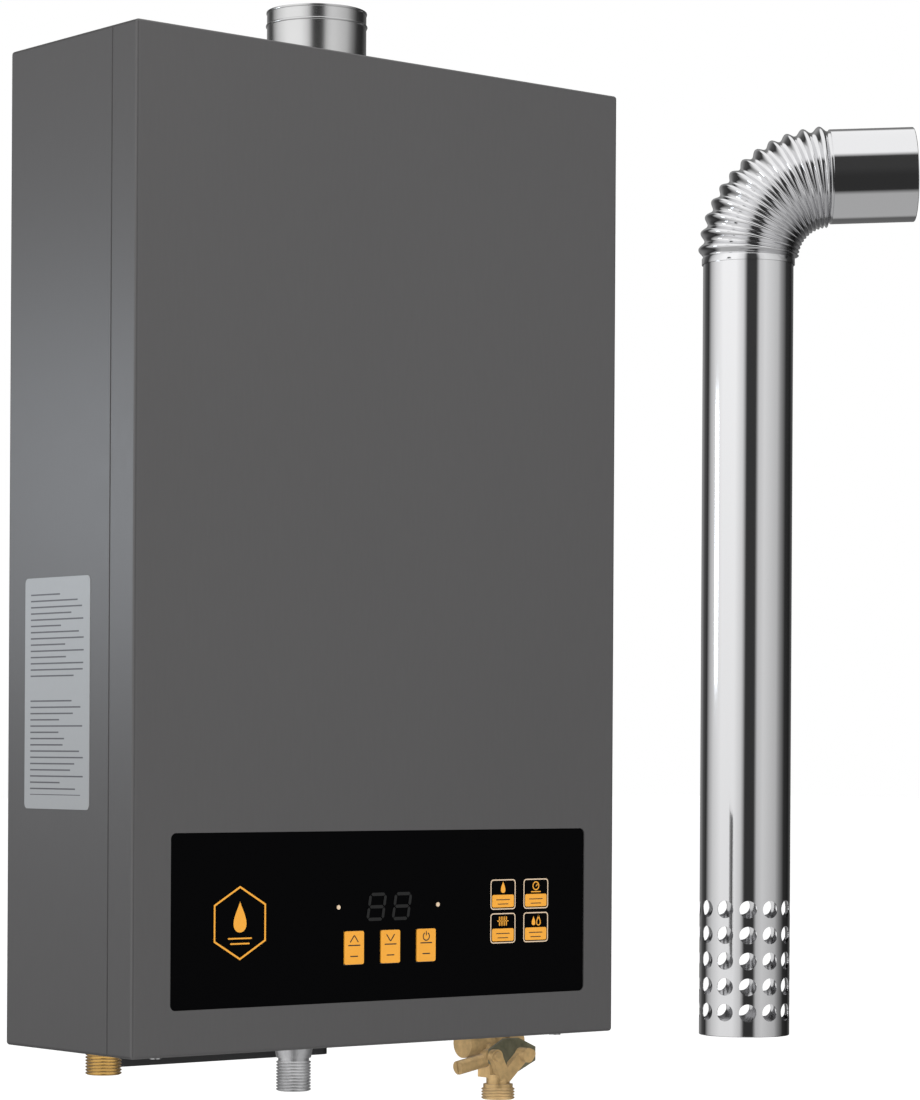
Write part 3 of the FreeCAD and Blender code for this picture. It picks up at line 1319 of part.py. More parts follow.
def electrics():
    """Controller box with its board, ignition unit and transformer on the back wall."""
    outer = block(("control_left", "control_right"), ("inner_back - control_depth", "inner_back"),
                  ("control_low", "control_high"))
    hollow = block(("control_left + control_wall", "control_right - control_wall"),
                   ("inner_back - control_depth + control_wall", "inner_back - control_wall"),
                   ("control_low + control_wall", "control_high - control_wall"))
    keep(cut(outer, hollow), "controller_box")
    board = block(("control_left + control_wall", "control_right - control_wall"),
                  ("inner_back - board_gap - board_thickness", "inner_back - board_gap"),
                  ("control_low + control_wall", "control_high - control_wall"))
    # Left edge, low edge, width, height and depth of each component on the board
    components = ((8, 10, 18, 16, 15), (34, 12, 22, 12, 12), (10, 40, 14, 14, 3),
                  (34, 38, 18, 22, 16), (8, 66, 12, 26, 10), (30, 72, 30, 8, 9))
    chips = [block((f"control_left + {x}", f"control_left + {x + wide}"),
                   (f"inner_back - board_gap - board_thickness - {deep}",
                    "inner_back - board_gap - board_thickness"),
                   (f"control_low + {z}", f"control_low + {z + tall}"))
             for x, z, wide, tall, deep in components]
    keep(fuse(board, *chips), "controller_board")
    unit = block(("ignition_left", "ignition_right"), ("inner_back - ignition_depth", "inner_back"),
                 ("ignition_low", "ignition_high"))
    towers = [rod("y", (f"ignition_left + {x}", "ignition_high - 12"), "inner_back - ignition_depth - 9",
                  "inner_back - ignition_depth", "4") for x in (14, 34)]
    keep(fuse(unit, *towers), "igniter_module")
    middle = "(transformer_low + transformer_high) / 2"
    core = block(("ignition_left", "ignition_right"),
                 ("inner_back - board_gap - transformer_core", "inner_back - board_gap"),
                 ("transformer_low", "transformer_high"))
    coil = block(("ignition_left + 10", "ignition_right - 10"), ("inner_back - 38", "inner_back"),
                 (f"{middle} - 13", f"{middle} + 13"))
    keep(fuse(core, coil), "transformer")


def thermostat():
    """Overheat switch clipped to the hot pipe."""
    centre = ("hot_x", "hot_y")
    low, high = "thermostat_z - 6", "thermostat_z + 6"
    clip = cut(rod("z", centre, low, high, "water_pipe_radius + 1.4"),
               rod("z", centre, f"{low} - 1", f"{high} + 1", "water_pipe_radius + 0.15"))
    cup = cut(rod("x", ("hot_y", "thermostat_z"), "hot_x + water_pipe_radius + 0.4",
                  "hot_x + water_pipe_radius + 9", "thermostat_radius"),
              rod("z", centre, "thermostat_z - 12", "thermostat_z + 12", "water_pipe_radius + 0.15"))
    keep(fuse(clip, cup), "overheat_thermostat")


def flue_tube():
    """Straight flue pipe with rows of round holes at its outer end."""
    x, y, low, high = numbers("pipe_x", "pipe_y", "pipe_low", "pipe_high")
    radius, wall, turn = numbers("flue_radius", "flue_wall", "pipe_turn")
    hole, pitch, margin = numbers("pipe_hole_radius", "pipe_hole_pitch", "pipe_hole_margin")
    rows, columns = int(number("pipe_hole_rows")), int(number("pipe_hole_columns"))
    pipe = Part.makeCylinder(radius, high - low, V(x, y, low)).cut(
        Part.makeCylinder(radius - wall, high - low, V(x, y, low)))
    drills = []
    for row in range(rows):
        level = low + margin + row * pitch
        for column in range(columns // 2):
            angle = math.radians(turn - 90 + 360 * column / columns)
            along = V(math.cos(angle), math.sin(angle), 0)
            drills.append(Part.makeCylinder(hole, 4 * radius, V(x, y, level) - along * 2 * radius, along))
    keep(solid(pipe.cut(Part.makeCompound(drills))), "flue_tube")


def elbow_skin(inset):
    """Ribbed elbow as one solid, its radius less the inset."""
    base, bend, angle, height = numbers("flue_radius", "elbow_radius", "elbow_angle", "rib_height")
    count = int(number("rib_count"))
    step = angle / count
    stations = [(0.0, 0.0)]
    for rib in range(count):
        start = rib * step
        stations += [(start + 0.12 * step, 0.0), (start + 0.42 * step, height)]
        stations += [(start + 0.58 * step, height), (start + 0.88 * step, 0.0)]
    stations.append((angle, 0.0))
    rings = []
    for turn, rise in stations:
        turn = math.radians(turn)
        direction = V(math.sin(turn), 0, math.cos(turn))
        centre = V(bend * (1 - math.cos(turn)), 0, bend * math.sin(turn))
        circle = Part.Circle(centre, direction, base - inset + rise)
        circle.XAxis = V(0, 1, 0)
        rings.append(Part.Wire(circle.toShape()))
    return Part.makeLoft(rings, True, True)


def elbow():
    """Crimped elbow with a skirt over the pipe and a spigot, and the stub on the spigot."""
    wall, base, clearance, skirt = numbers("flue_wall", "flue_radius", "skirt_clearance", "skirt_length")
    bend, angle, spigot = numbers("elbow_radius", "elbow_angle", "spigot_length")
    turn = math.radians(angle)
    end = V(bend * (1 - math.cos(turn)), 0, bend * math.sin(turn))
    out = V(math.sin(turn), 0, math.cos(turn))
    down = V(0, 0, -1)
    outside = elbow_skin(0).fuse([Part.makeCylinder(base + clearance + wall, skirt + 1, V(0, 0, 1), down),
                                  Part.makeCylinder(base, spigot, end, out)])
    inside = elbow_skin(wall).fuse([Part.makeCylinder(base - wall, 4, V(0, 0, 2), down),
                                    Part.makeCylinder(base - wall, spigot + 2, end - out, out)])
    bulge = outside.cut(Part.makeCylinder(base + clearance, skirt, V(), down)).cut(inside)
    stub_radius, stub_length = numbers("stub_radius", "stub_length")
    seat = end + out * spigot
    sleeve = Part.makeCylinder(stub_radius, stub_length, seat, out).cut(
        Part.makeCylinder(stub_radius - wall, stub_length, seat + out * spigot, out)).cut(
        Part.makeCylinder(base - wall, stub_length, seat, out))
    for shape, label in ((bulge, "flue_elbow"), (sleeve, "flue_stub")):
        piece = solid(shape)
        piece.Placement = FreeCAD.Placement(V(), FreeCAD.Rotation(V(0, 0, 1), number("pipe_turn")))
        place(piece, "pipe_x", "pipe_y", "pipe_high + 0.3")
        keep(piece, label)


def check_and_export():
    """Stop on any failed object or sub-part, then write each sub-part."""
    doc.recompute()
    for thing in doc.Objects:
        if "Invalid" in thing.State or "Error" in thing.State:
            users = [user.Label for user in thing.InList]
            raise RuntimeError(f"{thing.Name} ({thing.Label}) in {users} failed: {thing.State}")
    for thing in KEPT:
        if thing.Shape.isNull() or not thing.Shape.isValid() or not thing.Shape.Solids:
            raise RuntimeError(f"{thing.Label} is not a valid solid")
    os.makedirs("parts", exist_ok=True)
    for thing in KEPT:
        thing.Shape.exportStep(f"parts/{thing.Label}.step")
        box = thing.Shape.BoundBox
        print(f"{thing.Label:22s} solids {len(thing.Shape.Solids):3d}  x {box.XMin:8.1f} {box.XMax:8.1f}"
              f"  y {box.YMin:8.1f} {box.YMax:8.1f}  z {box.ZMin:8.1f} {box.ZMax:8.1f}")
    print(len(KEPT), "sub-parts")


fill_sheets()
rear_casing()
front_cover()
cover_screws()
flue_collar()
hanging_strips()
side_label()
panel_window()
panel_housing()
keys()
display_parts()
bottom_tray()
cord_grommet()
hot_outlet()
gas_inlet()
cold_inlet()
cold_inlet_trim()
water_valve()
water_pipes()
exchanger()
burners()
gas_train()
electrodes()
brackets()
smoke_hood()
fan()
pressure_switch()
electrics()
thermostat()
flue_tube()
elbow()
check_and_export()
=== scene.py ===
"""Looks of a wall-hung gas water heater and its flue pipe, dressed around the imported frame."""

import json
import math

import bmesh
import bpy
from bpy.props import FloatProperty, FloatVectorProperty, IntProperty, PointerProperty
from mathutils import Matrix, Vector

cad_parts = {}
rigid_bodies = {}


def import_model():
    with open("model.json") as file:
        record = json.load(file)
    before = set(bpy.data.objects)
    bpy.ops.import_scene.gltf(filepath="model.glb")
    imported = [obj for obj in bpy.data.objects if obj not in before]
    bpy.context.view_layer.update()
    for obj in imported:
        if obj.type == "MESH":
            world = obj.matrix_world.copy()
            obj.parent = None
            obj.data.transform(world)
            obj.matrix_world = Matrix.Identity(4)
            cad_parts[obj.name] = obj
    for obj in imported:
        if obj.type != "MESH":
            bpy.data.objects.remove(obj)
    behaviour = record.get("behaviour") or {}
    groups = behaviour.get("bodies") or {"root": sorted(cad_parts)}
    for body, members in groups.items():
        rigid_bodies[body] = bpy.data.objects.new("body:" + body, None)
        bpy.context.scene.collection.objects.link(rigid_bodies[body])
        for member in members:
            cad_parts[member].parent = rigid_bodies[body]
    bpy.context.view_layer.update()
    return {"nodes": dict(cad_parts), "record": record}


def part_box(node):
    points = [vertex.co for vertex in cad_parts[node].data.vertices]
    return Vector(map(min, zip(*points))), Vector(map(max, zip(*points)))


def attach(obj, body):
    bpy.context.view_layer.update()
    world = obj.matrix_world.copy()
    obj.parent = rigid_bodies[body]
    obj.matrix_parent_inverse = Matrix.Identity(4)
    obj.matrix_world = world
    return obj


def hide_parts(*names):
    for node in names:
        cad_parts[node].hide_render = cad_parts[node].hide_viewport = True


bl_info = {
    "name": "Gas water heater",
    "version": (1, 0, 0),
    "blender": (4, 5, 0),
    "location": "View3D > Sidebar > Heater",
    "description": "Dresses the frame of a wall-hung gas water heater with its panel, fittings and flue pipe",
    "category": "Add Mesh",
}

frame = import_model()
NODES = frame["nodes"]
KEYS = ("key_up", "key_down", "key_power")
# Two vertices that are nearer to each other than this are one
SAME_PLACE = 0.000002
# Thickness of the printed marks, and depth of the cutters for the panel's openings
MARK_THICKNESS = 0.00005
CUTTER_DEPTH = 0.01
# The flue: its radius and sheet, the way the elbow points, and the elbow's plain end inside the stub
FLUE_RADIUS = (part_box("flue_tube")[1].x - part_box("flue_tube")[0].x) / 2
SHEET = 0.0006
FLUE_TURN = math.radians(-39.65)
SPIGOT = 0.001


def middle(node):
    """Middle of a node's box."""
    low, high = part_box(node)
    return (low + high) / 2


class HeaterLook(bpy.types.PropertyGroup):
    """Sizes and colours that a user would change."""

    case_colour: FloatVectorProperty(
        name="Case", description="Paint of the case", subtype="COLOR", size=3, default=(0.105, 0.103, 0.104))
    key_colour: FloatVectorProperty(
        name="Keys", description="Keys and panel graphics", subtype="COLOR", size=3,
        default=(0.70, 0.305, 0.022))
    brass_colour: FloatVectorProperty(
        name="Brass", description="Brass fittings", subtype="COLOR", size=3, default=(0.68, 0.46, 0.21))
    copper_colour: FloatVectorProperty(
        name="Copper", description="Exchanger and pipes", subtype="COLOR", size=3, default=(0.72, 0.33, 0.19))
    steel_colour: FloatVectorProperty(
        name="Steel", description="Polished flue pipe", subtype="COLOR", size=3, default=(0.72, 0.72, 0.73))
    rib_count: IntProperty(
        name="Ribs", description="Ribs of the elbow", default=12, min=1)
    line_width: FloatProperty(
        name="Line", description="Width of the lines drawn on the panel", unit="LENGTH", default=0.0011)
    floor_height: FloatProperty(
        name="Floor", description="Height of the studio floor", unit="LENGTH", default=-0.62)


def look():
    """The look's settings."""
    return bpy.context.scene.heater_look


def fine_line():
    """Width of the thin lines on the panel and the keys."""
    return 0.6 * look().line_width


class Value:
    """A shader socket in sums and products."""

    def __init__(self, nodes, socket):
        self.nodes = nodes
        self.socket = socket

    def math(self, operation, *inputs):
        """Add a Math node on this value and others."""
        return self.nodes.node("ShaderNodeMath", {"operation": operation}, dict(enumerate((self, *inputs))))

    def __add__(self, other):
        return self.math("ADD", other)

    def __radd__(self, other):
        return self.math("ADD", other)

    def __sub__(self, other):
        return self.math("SUBTRACT", other)

    def __rsub__(self, other):
        return self.nodes.node("ShaderNodeMath", {"operation": "SUBTRACT"}, {0: other, 1: self})

    def __mul__(self, other):
        return self.math("MULTIPLY", other)

    def __rmul__(self, other):
        return self.math("MULTIPLY", other)

    def clamp(self):
        """Keep the value between 0 and 1."""
        return self.nodes.node("ShaderNodeClamp", {}, {0: self})


class ShaderNodes:
    """The nodes of a material or a sky."""

    def __init__(self, owner):
        owner.use_nodes = True
        self.tree = owner.node_tree
        self.tree.nodes.clear()

    def feed(self, socket, value):
        """Give any socket a constant or a link."""
        if isinstance(value, Value):
            self.tree.links.new(value.socket, socket)
        else:
            socket.default_value = value

    def node(self, kind, settings, sockets, output=0):
        """Add a node: its settings first, then the values or links of its sockets."""
        node = self.tree.nodes.new(kind)
        for name, setting in settings.items():
            if name == "stops":
                self.fill_ramp(node.color_ramp, setting)
            else:
                setattr(node, name, setting)
        for name, value in sockets.items():
            self.feed(node.inputs[name], value)
        return Value(self, node.outputs[output])

    @staticmethod
    def fill_ramp(ramp, stops):
        """Put a ramp's stops in place."""
        while len(ramp.elements) < len(stops):
            ramp.elements.new(0.5)
        for element, (position, colour) in zip(ramp.elements, stops):
            element.position = position
            element.color = (*colour, 1.0)

    def axes(self, vector):
        """X, Y and Z of a vector, each as a value."""
        return [self.node("ShaderNodeSeparateXYZ", {}, {0: vector}, axis) for axis in "XYZ"]

    def ramp(self, value, *stops):
        """Colours along a value."""
        return self.node("ShaderNodeValToRGB", {"stops": stops}, {"Fac": value})

    def mix(self, factor, first, second, blend="MIX"):
        """Mix or multiply two colours, each a link or red, green and blue."""
        first, second = [(*part, 1.0) if isinstance(part, tuple) else part for part in (first, second)]
        settings = {"data_type": "RGBA", "blend_type": blend}
        return self.node("ShaderNodeMix", settings, {0: factor, 6: first, 7: second}, 2)


class Finish(ShaderNodes):
    """One material, with a pattern on Object coordinates."""

    def __init__(self, name, colour, roughness, metallic=0.0):
        self.name = name
        self.material = bpy.data.materials.new(name)
        super().__init__(self.material)
        self.shader = self.tree.nodes.new("ShaderNodeBsdfPrincipled")
        output = self.tree.nodes.new("ShaderNodeOutputMaterial")
        self.tree.links.new(self.shader.outputs[0], output.inputs["Surface"])
        self.set("Base Color", (*colour, 1.0))
        self.set("Roughness", roughness)
        self.set("Metallic", metallic)
        self.material.diffuse_color = (*colour, 1.0)

    def set(self, socket, value):
        """Give the main shader's socket a constant or a link."""
        self.feed(self.shader.inputs[socket], value)

    def place(self, scale=(1, 1, 1), turn=(0, 0, 0)):
        """Object coordinates, stretched and turned."""
        spot = self.node("ShaderNodeTexCoord", {}, {}, "Object")
        return self.node("ShaderNodeMapping", {}, {"Vector": spot, "Rotation": turn, "Scale": scale})

    def noise(self, scale, stretch=(1, 1, 1), detail=3.0, roughness=0.5):
        """Noise from 0 to 1, with scale lumps to the metre."""
        sockets = {"Vector": self.place(stretch), "Scale": scale, "Detail": detail, "Roughness": roughness}
        return self.node("ShaderNodeTexNoise", {}, sockets, 0)

    def bump(self, height, strength, distance=0.0002):
        """Feed the normal from a height."""
        self.set("Normal", self.node(
            "ShaderNodeBump", {}, {"Strength": strength, "Distance": distance, "Height": height}))
        return self


# Every finish by its material slot
FINISHES = {}


def shade(colour, factor):
    """A colour made lighter or darker."""
    return tuple(min(1.0, channel * factor) for channel in colour)


def brushed(name, colour, roughness, stretch, strength=0.25, spread=0.12, metallic=1.0):
    """Metal with a fine grain along one way."""
    finish = Finish(name, colour, roughness, metallic)
    grain = finish.noise(1.0, stretch, 4.0)
    dark, light = shade(colour, 0.88), shade(colour, 1.1)
    finish.set("Base Color", finish.ramp(grain, (0.3, dark), (0.7, light)))
    finish.set("Roughness", grain * spread + (roughness - spread / 2))
    return finish.bump(grain, strength, distance=0.00005)


def painted(name, colour, roughness, metallic, grain):
    """Satin metallic paint with a fine vertical grain and a soft cloudiness."""
    finish = Finish(name, colour, roughness, metallic)
    fine = finish.noise(1.0, grain, 5.0)
    clouds = finish.noise(5.0, (1, 1, 0.6), 2.0)
    dark, light = shade(colour, 0.9), shade(colour, 1.1)
    finish.set("Base Color", finish.mix((fine * 0.55 + clouds * 0.45).clamp(), dark, light))
    finish.set("Roughness", fine * 0.08 + (roughness - 0.04))
    return finish.bump(fine, 0.12, distance=0.00004)


def moulded(name, colour, roughness, grain=900.0, strength=0.2):
    """Moulded plastic or rubber with a fine leather-like grain."""
    finish = Finish(name, colour, roughness)
    speckle = finish.noise(grain, detail=2.0)
    wear = finish.noise(14.0, detail=3.0)
    dark, light = shade(colour, 0.85), shade(colour, 1.15)
    finish.set("Base Color", finish.mix(wear, dark, light))
    finish.set("Roughness", wear * 0.12 + (roughness - 0.06))
    return finish.bump(speckle, strength, distance=0.00006)


def gloss(name, colour, roughness=0.08, shine=0.5):
    """Polished plastic or glass with a faint unevenness."""
    finish = Finish(name, colour, roughness)
    finish.set("Specular IOR Level", shine)
    smear = finish.noise(9.0, detail=3.0)
    finish.set("Roughness", smear * 0.05 + roughness)
    return finish


def cast(name, colour, roughness, lumps=260.0, metallic=1.0):
    """Cast or forged metal: fine lumps, darker hollows and a stained colour."""
    finish = Finish(name, colour, roughness, metallic)
    grit = finish.noise(lumps, detail=4.0, roughness=0.6)
    stain = finish.noise(45.0, detail=4.0)
    hollow, crest = shade(colour, 0.55), shade(colour, 1.3)
    finish.set("Base Color", finish.ramp(
        stain * 0.7 + grit * 0.3, (0.32, hollow), (0.52, colour), (0.72, crest)))
    finish.set("Roughness", stain * 0.25 + (roughness - 0.1))
    return finish.bump(grit, 0.35, distance=0.0001)


def polished(name, colour, roughness=0.07):
    """Mirror-polished sheet with faint drawing lines."""
    finish = Finish(name, colour, roughness, 1.0)
    lines = finish.noise(1.0, (900, 900, 3), 3.0)
    finish.set("Roughness", lines * 0.05 + (roughness - 0.02))
    return finish.bump(lines, 0.04, distance=0.00002)


def galvanised():
    """Zinc sheet with a spangle."""
    spangles_per_metre = 160.0
    finish = Finish("zinc_sheet", (0.5, 0.51, 0.52), 0.4, 1.0)
    cells = finish.node("ShaderNodeTexVoronoi", {}, {"Vector": finish.place(), "Scale": spangles_per_metre},
                        "Color")
    tone = finish.node("ShaderNodeRGBToBW", {}, {"Color": cells})
    finish.set("Base Color", finish.ramp(tone, (0.2, (0.36, 0.37, 0.38)), (0.8, (0.6, 0.61, 0.62))))
    finish.set("Roughness", tone * 0.2 + 0.28)
    return finish


def circuit_board():
    """Green solder mask with traces in a lighter green."""
    mask, shaded_mask, trace = (0.02, 0.12, 0.05), (0.015, 0.1, 0.04), (0.05, 0.24, 0.1)
    finish = Finish("board_green", mask, 0.35)
    facing_front = (math.pi / 2, 0, 0)
    sockets = {"Vector": finish.place(turn=facing_front), "Scale": 150.0, "Mortar Size": 0.05,
               "Color1": (*mask, 1), "Color2": (*shaded_mask, 1), "Mortar": (*trace, 1)}
    finish.set("Base Color", finish.node("ShaderNodeTexBrick", {"offset": 0.35}, sockets, "Color"))
    return finish


def copper():
    """Bare copper with dark stains and a dull rose heat tint."""
    colour = tuple(look().copper_colour)
    stained, bright, rose = shade(colour, 0.6), shade(colour, 1.15), (0.5, 0.28, 0.25)
    finish = Finish("copper", colour, 0.3, 1.0)
    tint = finish.noise(18.0, detail=4.0)
    fine = finish.noise(400.0, detail=2.0)
    finish.set("Base Color", finish.ramp(
        tint, (0.3, stained), (0.5, colour), (0.62, bright), (0.8, rose)))
    finish.set("Roughness", tint * 0.25 + 0.16)
    return finish.bump(fine, 0.08)


def burner_steel():
    """Stainless burner bars, straw and blue near the flame at their top."""
    bare, straw, violet, blue = (0.45, 0.44, 0.42), (0.5, 0.38, 0.2), (0.28, 0.2, 0.3), (0.16, 0.2, 0.32)
    tinted = 0.03
    finish = Finish("burner_steel", (0.45, 0.43, 0.4), 0.35, 1.0)
    height = finish.axes(finish.place())[2]
    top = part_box("burner_bars")[1].z
    near_flame = finish.node("ShaderNodeMapRange", {}, {0: height, 1: top - tinted, 2: top})
    finish.set("Base Color", finish.ramp(near_flame, (0.0, bare), (0.5, straw), (0.8, violet), (1.0, blue)))
    finish.set("Roughness", finish.noise(60.0) * 0.2 + 0.25)
    return finish


def ruled_plate():
    """Silver plate with thin ruled lines of uneven length in two blocks."""
    silver, ink = (0.34, 0.35, 0.36), (0.1, 0.1, 0.11)
    margin, pitch, line_share, longest_cut = 0.006, 0.0036, 0.24, 0.45
    block_ends, gap_ends = (0.06, 0.94), (0.49, 0.56)
    finish = Finish("side_plate_silver", silver, 0.45, 0.4)
    low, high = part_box("side_label_plate")
    _, across, level = finish.axes(finish.place())
    row = level * (1 / pitch)
    ragged = finish.node("ShaderNodeTexWhiteNoise", {"noise_dimensions": "1D"}, {"W": row.math("FLOOR")})
    ruled = row.math("FRACT").math("LESS_THAN", line_share)
    line_end = ragged * ragged * ((high.y - low.y) * longest_cut) + (low.y + margin)
    inside = across.math("LESS_THAN", high.y - margin) * across.math("GREATER_THAN", line_end)
    share = (level - low.z) * (1 / (high.z - low.z))
    blocks, gap = [share.math("GREATER_THAN", start) * share.math("LESS_THAN", end)
                   for start, end in (block_ends, gap_ends)]
    finish.set("Base Color", finish.mix(ruled * inside * blocks * (1 - gap), silver, ink))
    finish.set("Roughness", finish.noise(300.0) * 0.1 + 0.4)
    return finish


def make_finishes():
    """Make every finish; each has the name of its material slot."""
    settings = look()
    case, key = tuple(settings.case_colour), tuple(settings.key_colour)
    brass, steel = tuple(settings.brass_colour), tuple(settings.steel_colour)
    made = (
        painted("casing_paint", case, 0.36, 0.55, (500, 500, 60)),
        painted("cover_paint", case, 0.36, 0.55, (500, 500, 60)),
        brushed("screw_steel", (0.55, 0.55, 0.56), 0.3, (300, 300, 300)),
        polished("collar_steel", (0.6, 0.6, 0.6), 0.2),
        moulded("gasket_grey", (0.3, 0.3, 0.29), 0.85),
        galvanised(),
        ruled_plate(),
        gloss("panel_gloss", (0.0008, 0.0008, 0.001), 0.06, 0.03),
        moulded("housing_black", (0.012, 0.012, 0.013), 0.5),
        moulded("key_orange", key, 0.34, 1500.0, 0.05),
        gloss("display_dark", (0.012, 0.012, 0.012), 0.3, 0.2),
        circuit_board(),
        moulded("switch_black", (0.02, 0.02, 0.02), 0.45),
        gloss("lens_pale", (0.6, 0.46, 0.32), 0.3),
        moulded("gland_rubber", (0.015, 0.015, 0.015), 0.7),
        brushed("outlet_brass", (0.58, 0.34, 0.085), 0.24, (60, 60, 900), 0.15, metallic=0.85),
        cast("inlet_brass", brass, 0.36, metallic=0.65),
        cast("clamp_olive", (0.2, 0.19, 0.12), 0.35, 180.0, 0.7),
        copper(),
        moulded("turbine_white", (0.7, 0.7, 0.67), 0.45),
        brushed("shaft_steel", (0.62, 0.62, 0.63), 0.18, (60, 900, 60), 0.1),
        cast("cast_aluminium", (0.56, 0.56, 0.57), 0.36, metallic=0.8),
        moulded("coil_black", (0.02, 0.02, 0.024), 0.42),
        burner_steel(),
        gloss("ceramic_white", (0.82, 0.8, 0.74), 0.25),
        brushed("hood_aluminium", (0.6, 0.6, 0.61), 0.34, (500, 500, 20), 0.12),
        moulded("motor_dark", (0.03, 0.03, 0.034), 0.4, 500.0),
        moulded("hose_silicone", (0.36, 0.08, 0.04), 0.42),
        brushed("thermostat_metal", (0.6, 0.6, 0.6), 0.3, (200, 200, 200)),
        polished("flue_chrome", steel),
    )
    for finish in made:
        FINISHES[finish.name] = finish


def paint(piece, slot):
    """Give a piece the finish of a material slot."""
    piece.data.materials.clear()
    piece.data.materials.append(FINISHES[slot].material)


def clear_selection():
    """Deselect everything."""
    for item in bpy.context.selected_objects:
        item.select_set(False)


def empty_mesh():
    """Add an object with nothing in its mesh, open in edit mode."""
    clear_selection()
    bpy.ops.mesh.primitive_plane_add()
    bpy.ops.object.mode_set(mode="EDIT")
    bpy.ops.mesh.delete(type="VERT")


def finished(name, body, slot, replaced=()):
    """Name the active object, put its place in its mesh, give it its finish and let it ride on its body."""
    piece = bpy.context.object
    bpy.ops.object.transform_apply(location=True, rotation=True, scale=True)
    piece.name = name
    piece.data.name = name
    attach(piece, body)
    if replaced:
        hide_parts(*replaced)
    paint(piece, slot)


def modify(kind, **settings):
    """Add a modifier to the active object and apply it."""
    piece = bpy.context.object
    modifier = piece.modifiers.new(kind.title(), kind)
    for name, value in settings.items():
        setattr(modifier, name, value)
    bpy.ops.object.modifier_apply(modifier=modifier.name)


def boolean(piece, cutter):
    """Cut a piece by another object, which goes, and leave the piece active and selected."""
    clear_selection()
    piece.select_set(True)
    bpy.context.view_layer.objects.active = piece
    modify("BOOLEAN", operation="DIFFERENCE", object=cutter, solver="EXACT")
    bpy.data.objects.remove(cutter)


def smooth(angle=35.0):
    """Shade the active object smooth up to an angle."""
    bpy.ops.object.shade_smooth_by_angle(angle=math.radians(angle))


def draw_loop(spots):
    """In edit mode, draw a closed loop of edges through places."""
    bpy.ops.mesh.primitive_plane_add(size=0.0001, location=spots[0])
    bpy.ops.mesh.merge(type="CENTER")
    for start, end in zip(spots, spots[1:] + spots[:1]):
        bpy.ops.mesh.extrude_vertices_move(TRANSFORM_OT_translate={"value": end - start})
    bpy.ops.mesh.select_linked()
    bpy.ops.mesh.remove_doubles(threshold=SAME_PLACE)


def spun(profile, foot, direction, steps):
    """Spin a closed profile of (radius, distance along) points about an axis that starts at its foot."""
    empty_mesh()
    draw_loop([Vector((radius, 0, along)) for radius, along in profile])
    bpy.ops.mesh.spin(steps=steps, angle=2 * math.pi, center=(0, 0, 0), axis=(0, 0, 1))
    bpy.ops.mesh.select_all(action="SELECT")
    bpy.ops.mesh.remove_doubles(threshold=SAME_PLACE)
    bpy.ops.mesh.normals_make_consistent(inside=False)
    bpy.ops.object.mode_set(mode="OBJECT")
    turn = Vector((0, 0, 1)).rotation_difference(direction).to_matrix().to_4x4()
    bpy.context.object.matrix_world = Matrix.Translation(foot) @ turn


# Brightness of the surroundings by compass bearing, clockwise from the wall's side
BEARINGS = ((-180, 0.95), (-166, 0.8), (-157, 0.05), (-134, 0.05), (-124, 0.9), (-105, 1.25), (-70, 1.25),
            (-45, 0.95), (-30, 0.6), (-17, 0.04), (0, 0.1), (20, 0.35), (60, 0.15), (85, 0.02), (110, 0.04),
            (130, 0.36), (142, 0.68), (160, 0.82), (180, 0.95))
# Name, place, aim, width and height, power and colour of each soft box, and whether metal mirrors it
SOFT_BOXES = (
    ("soft_box_front", (-1.5, -2.4, 1.5), (0.0, 0.0, 0.1), (1.2, 1.2), 42.0, (1.0, 0.99, 0.98), False),
    ("soft_box_side", (-0.95, 0.9, 0.12), (-0.18, -0.06, 0.04), (0.3, 0.3), 1.3, (0.84, 0.92, 1.0), True),
    ("soft_box_right", (1.8, -2.4, 0.8), (0.1, 0.0, 0.0), (1.4, 1.4), 12.0, (0.95, 0.97, 1.0), False),
)


def grey(level):
    """Red, green and blue of a grey."""
    return (level, level, level)


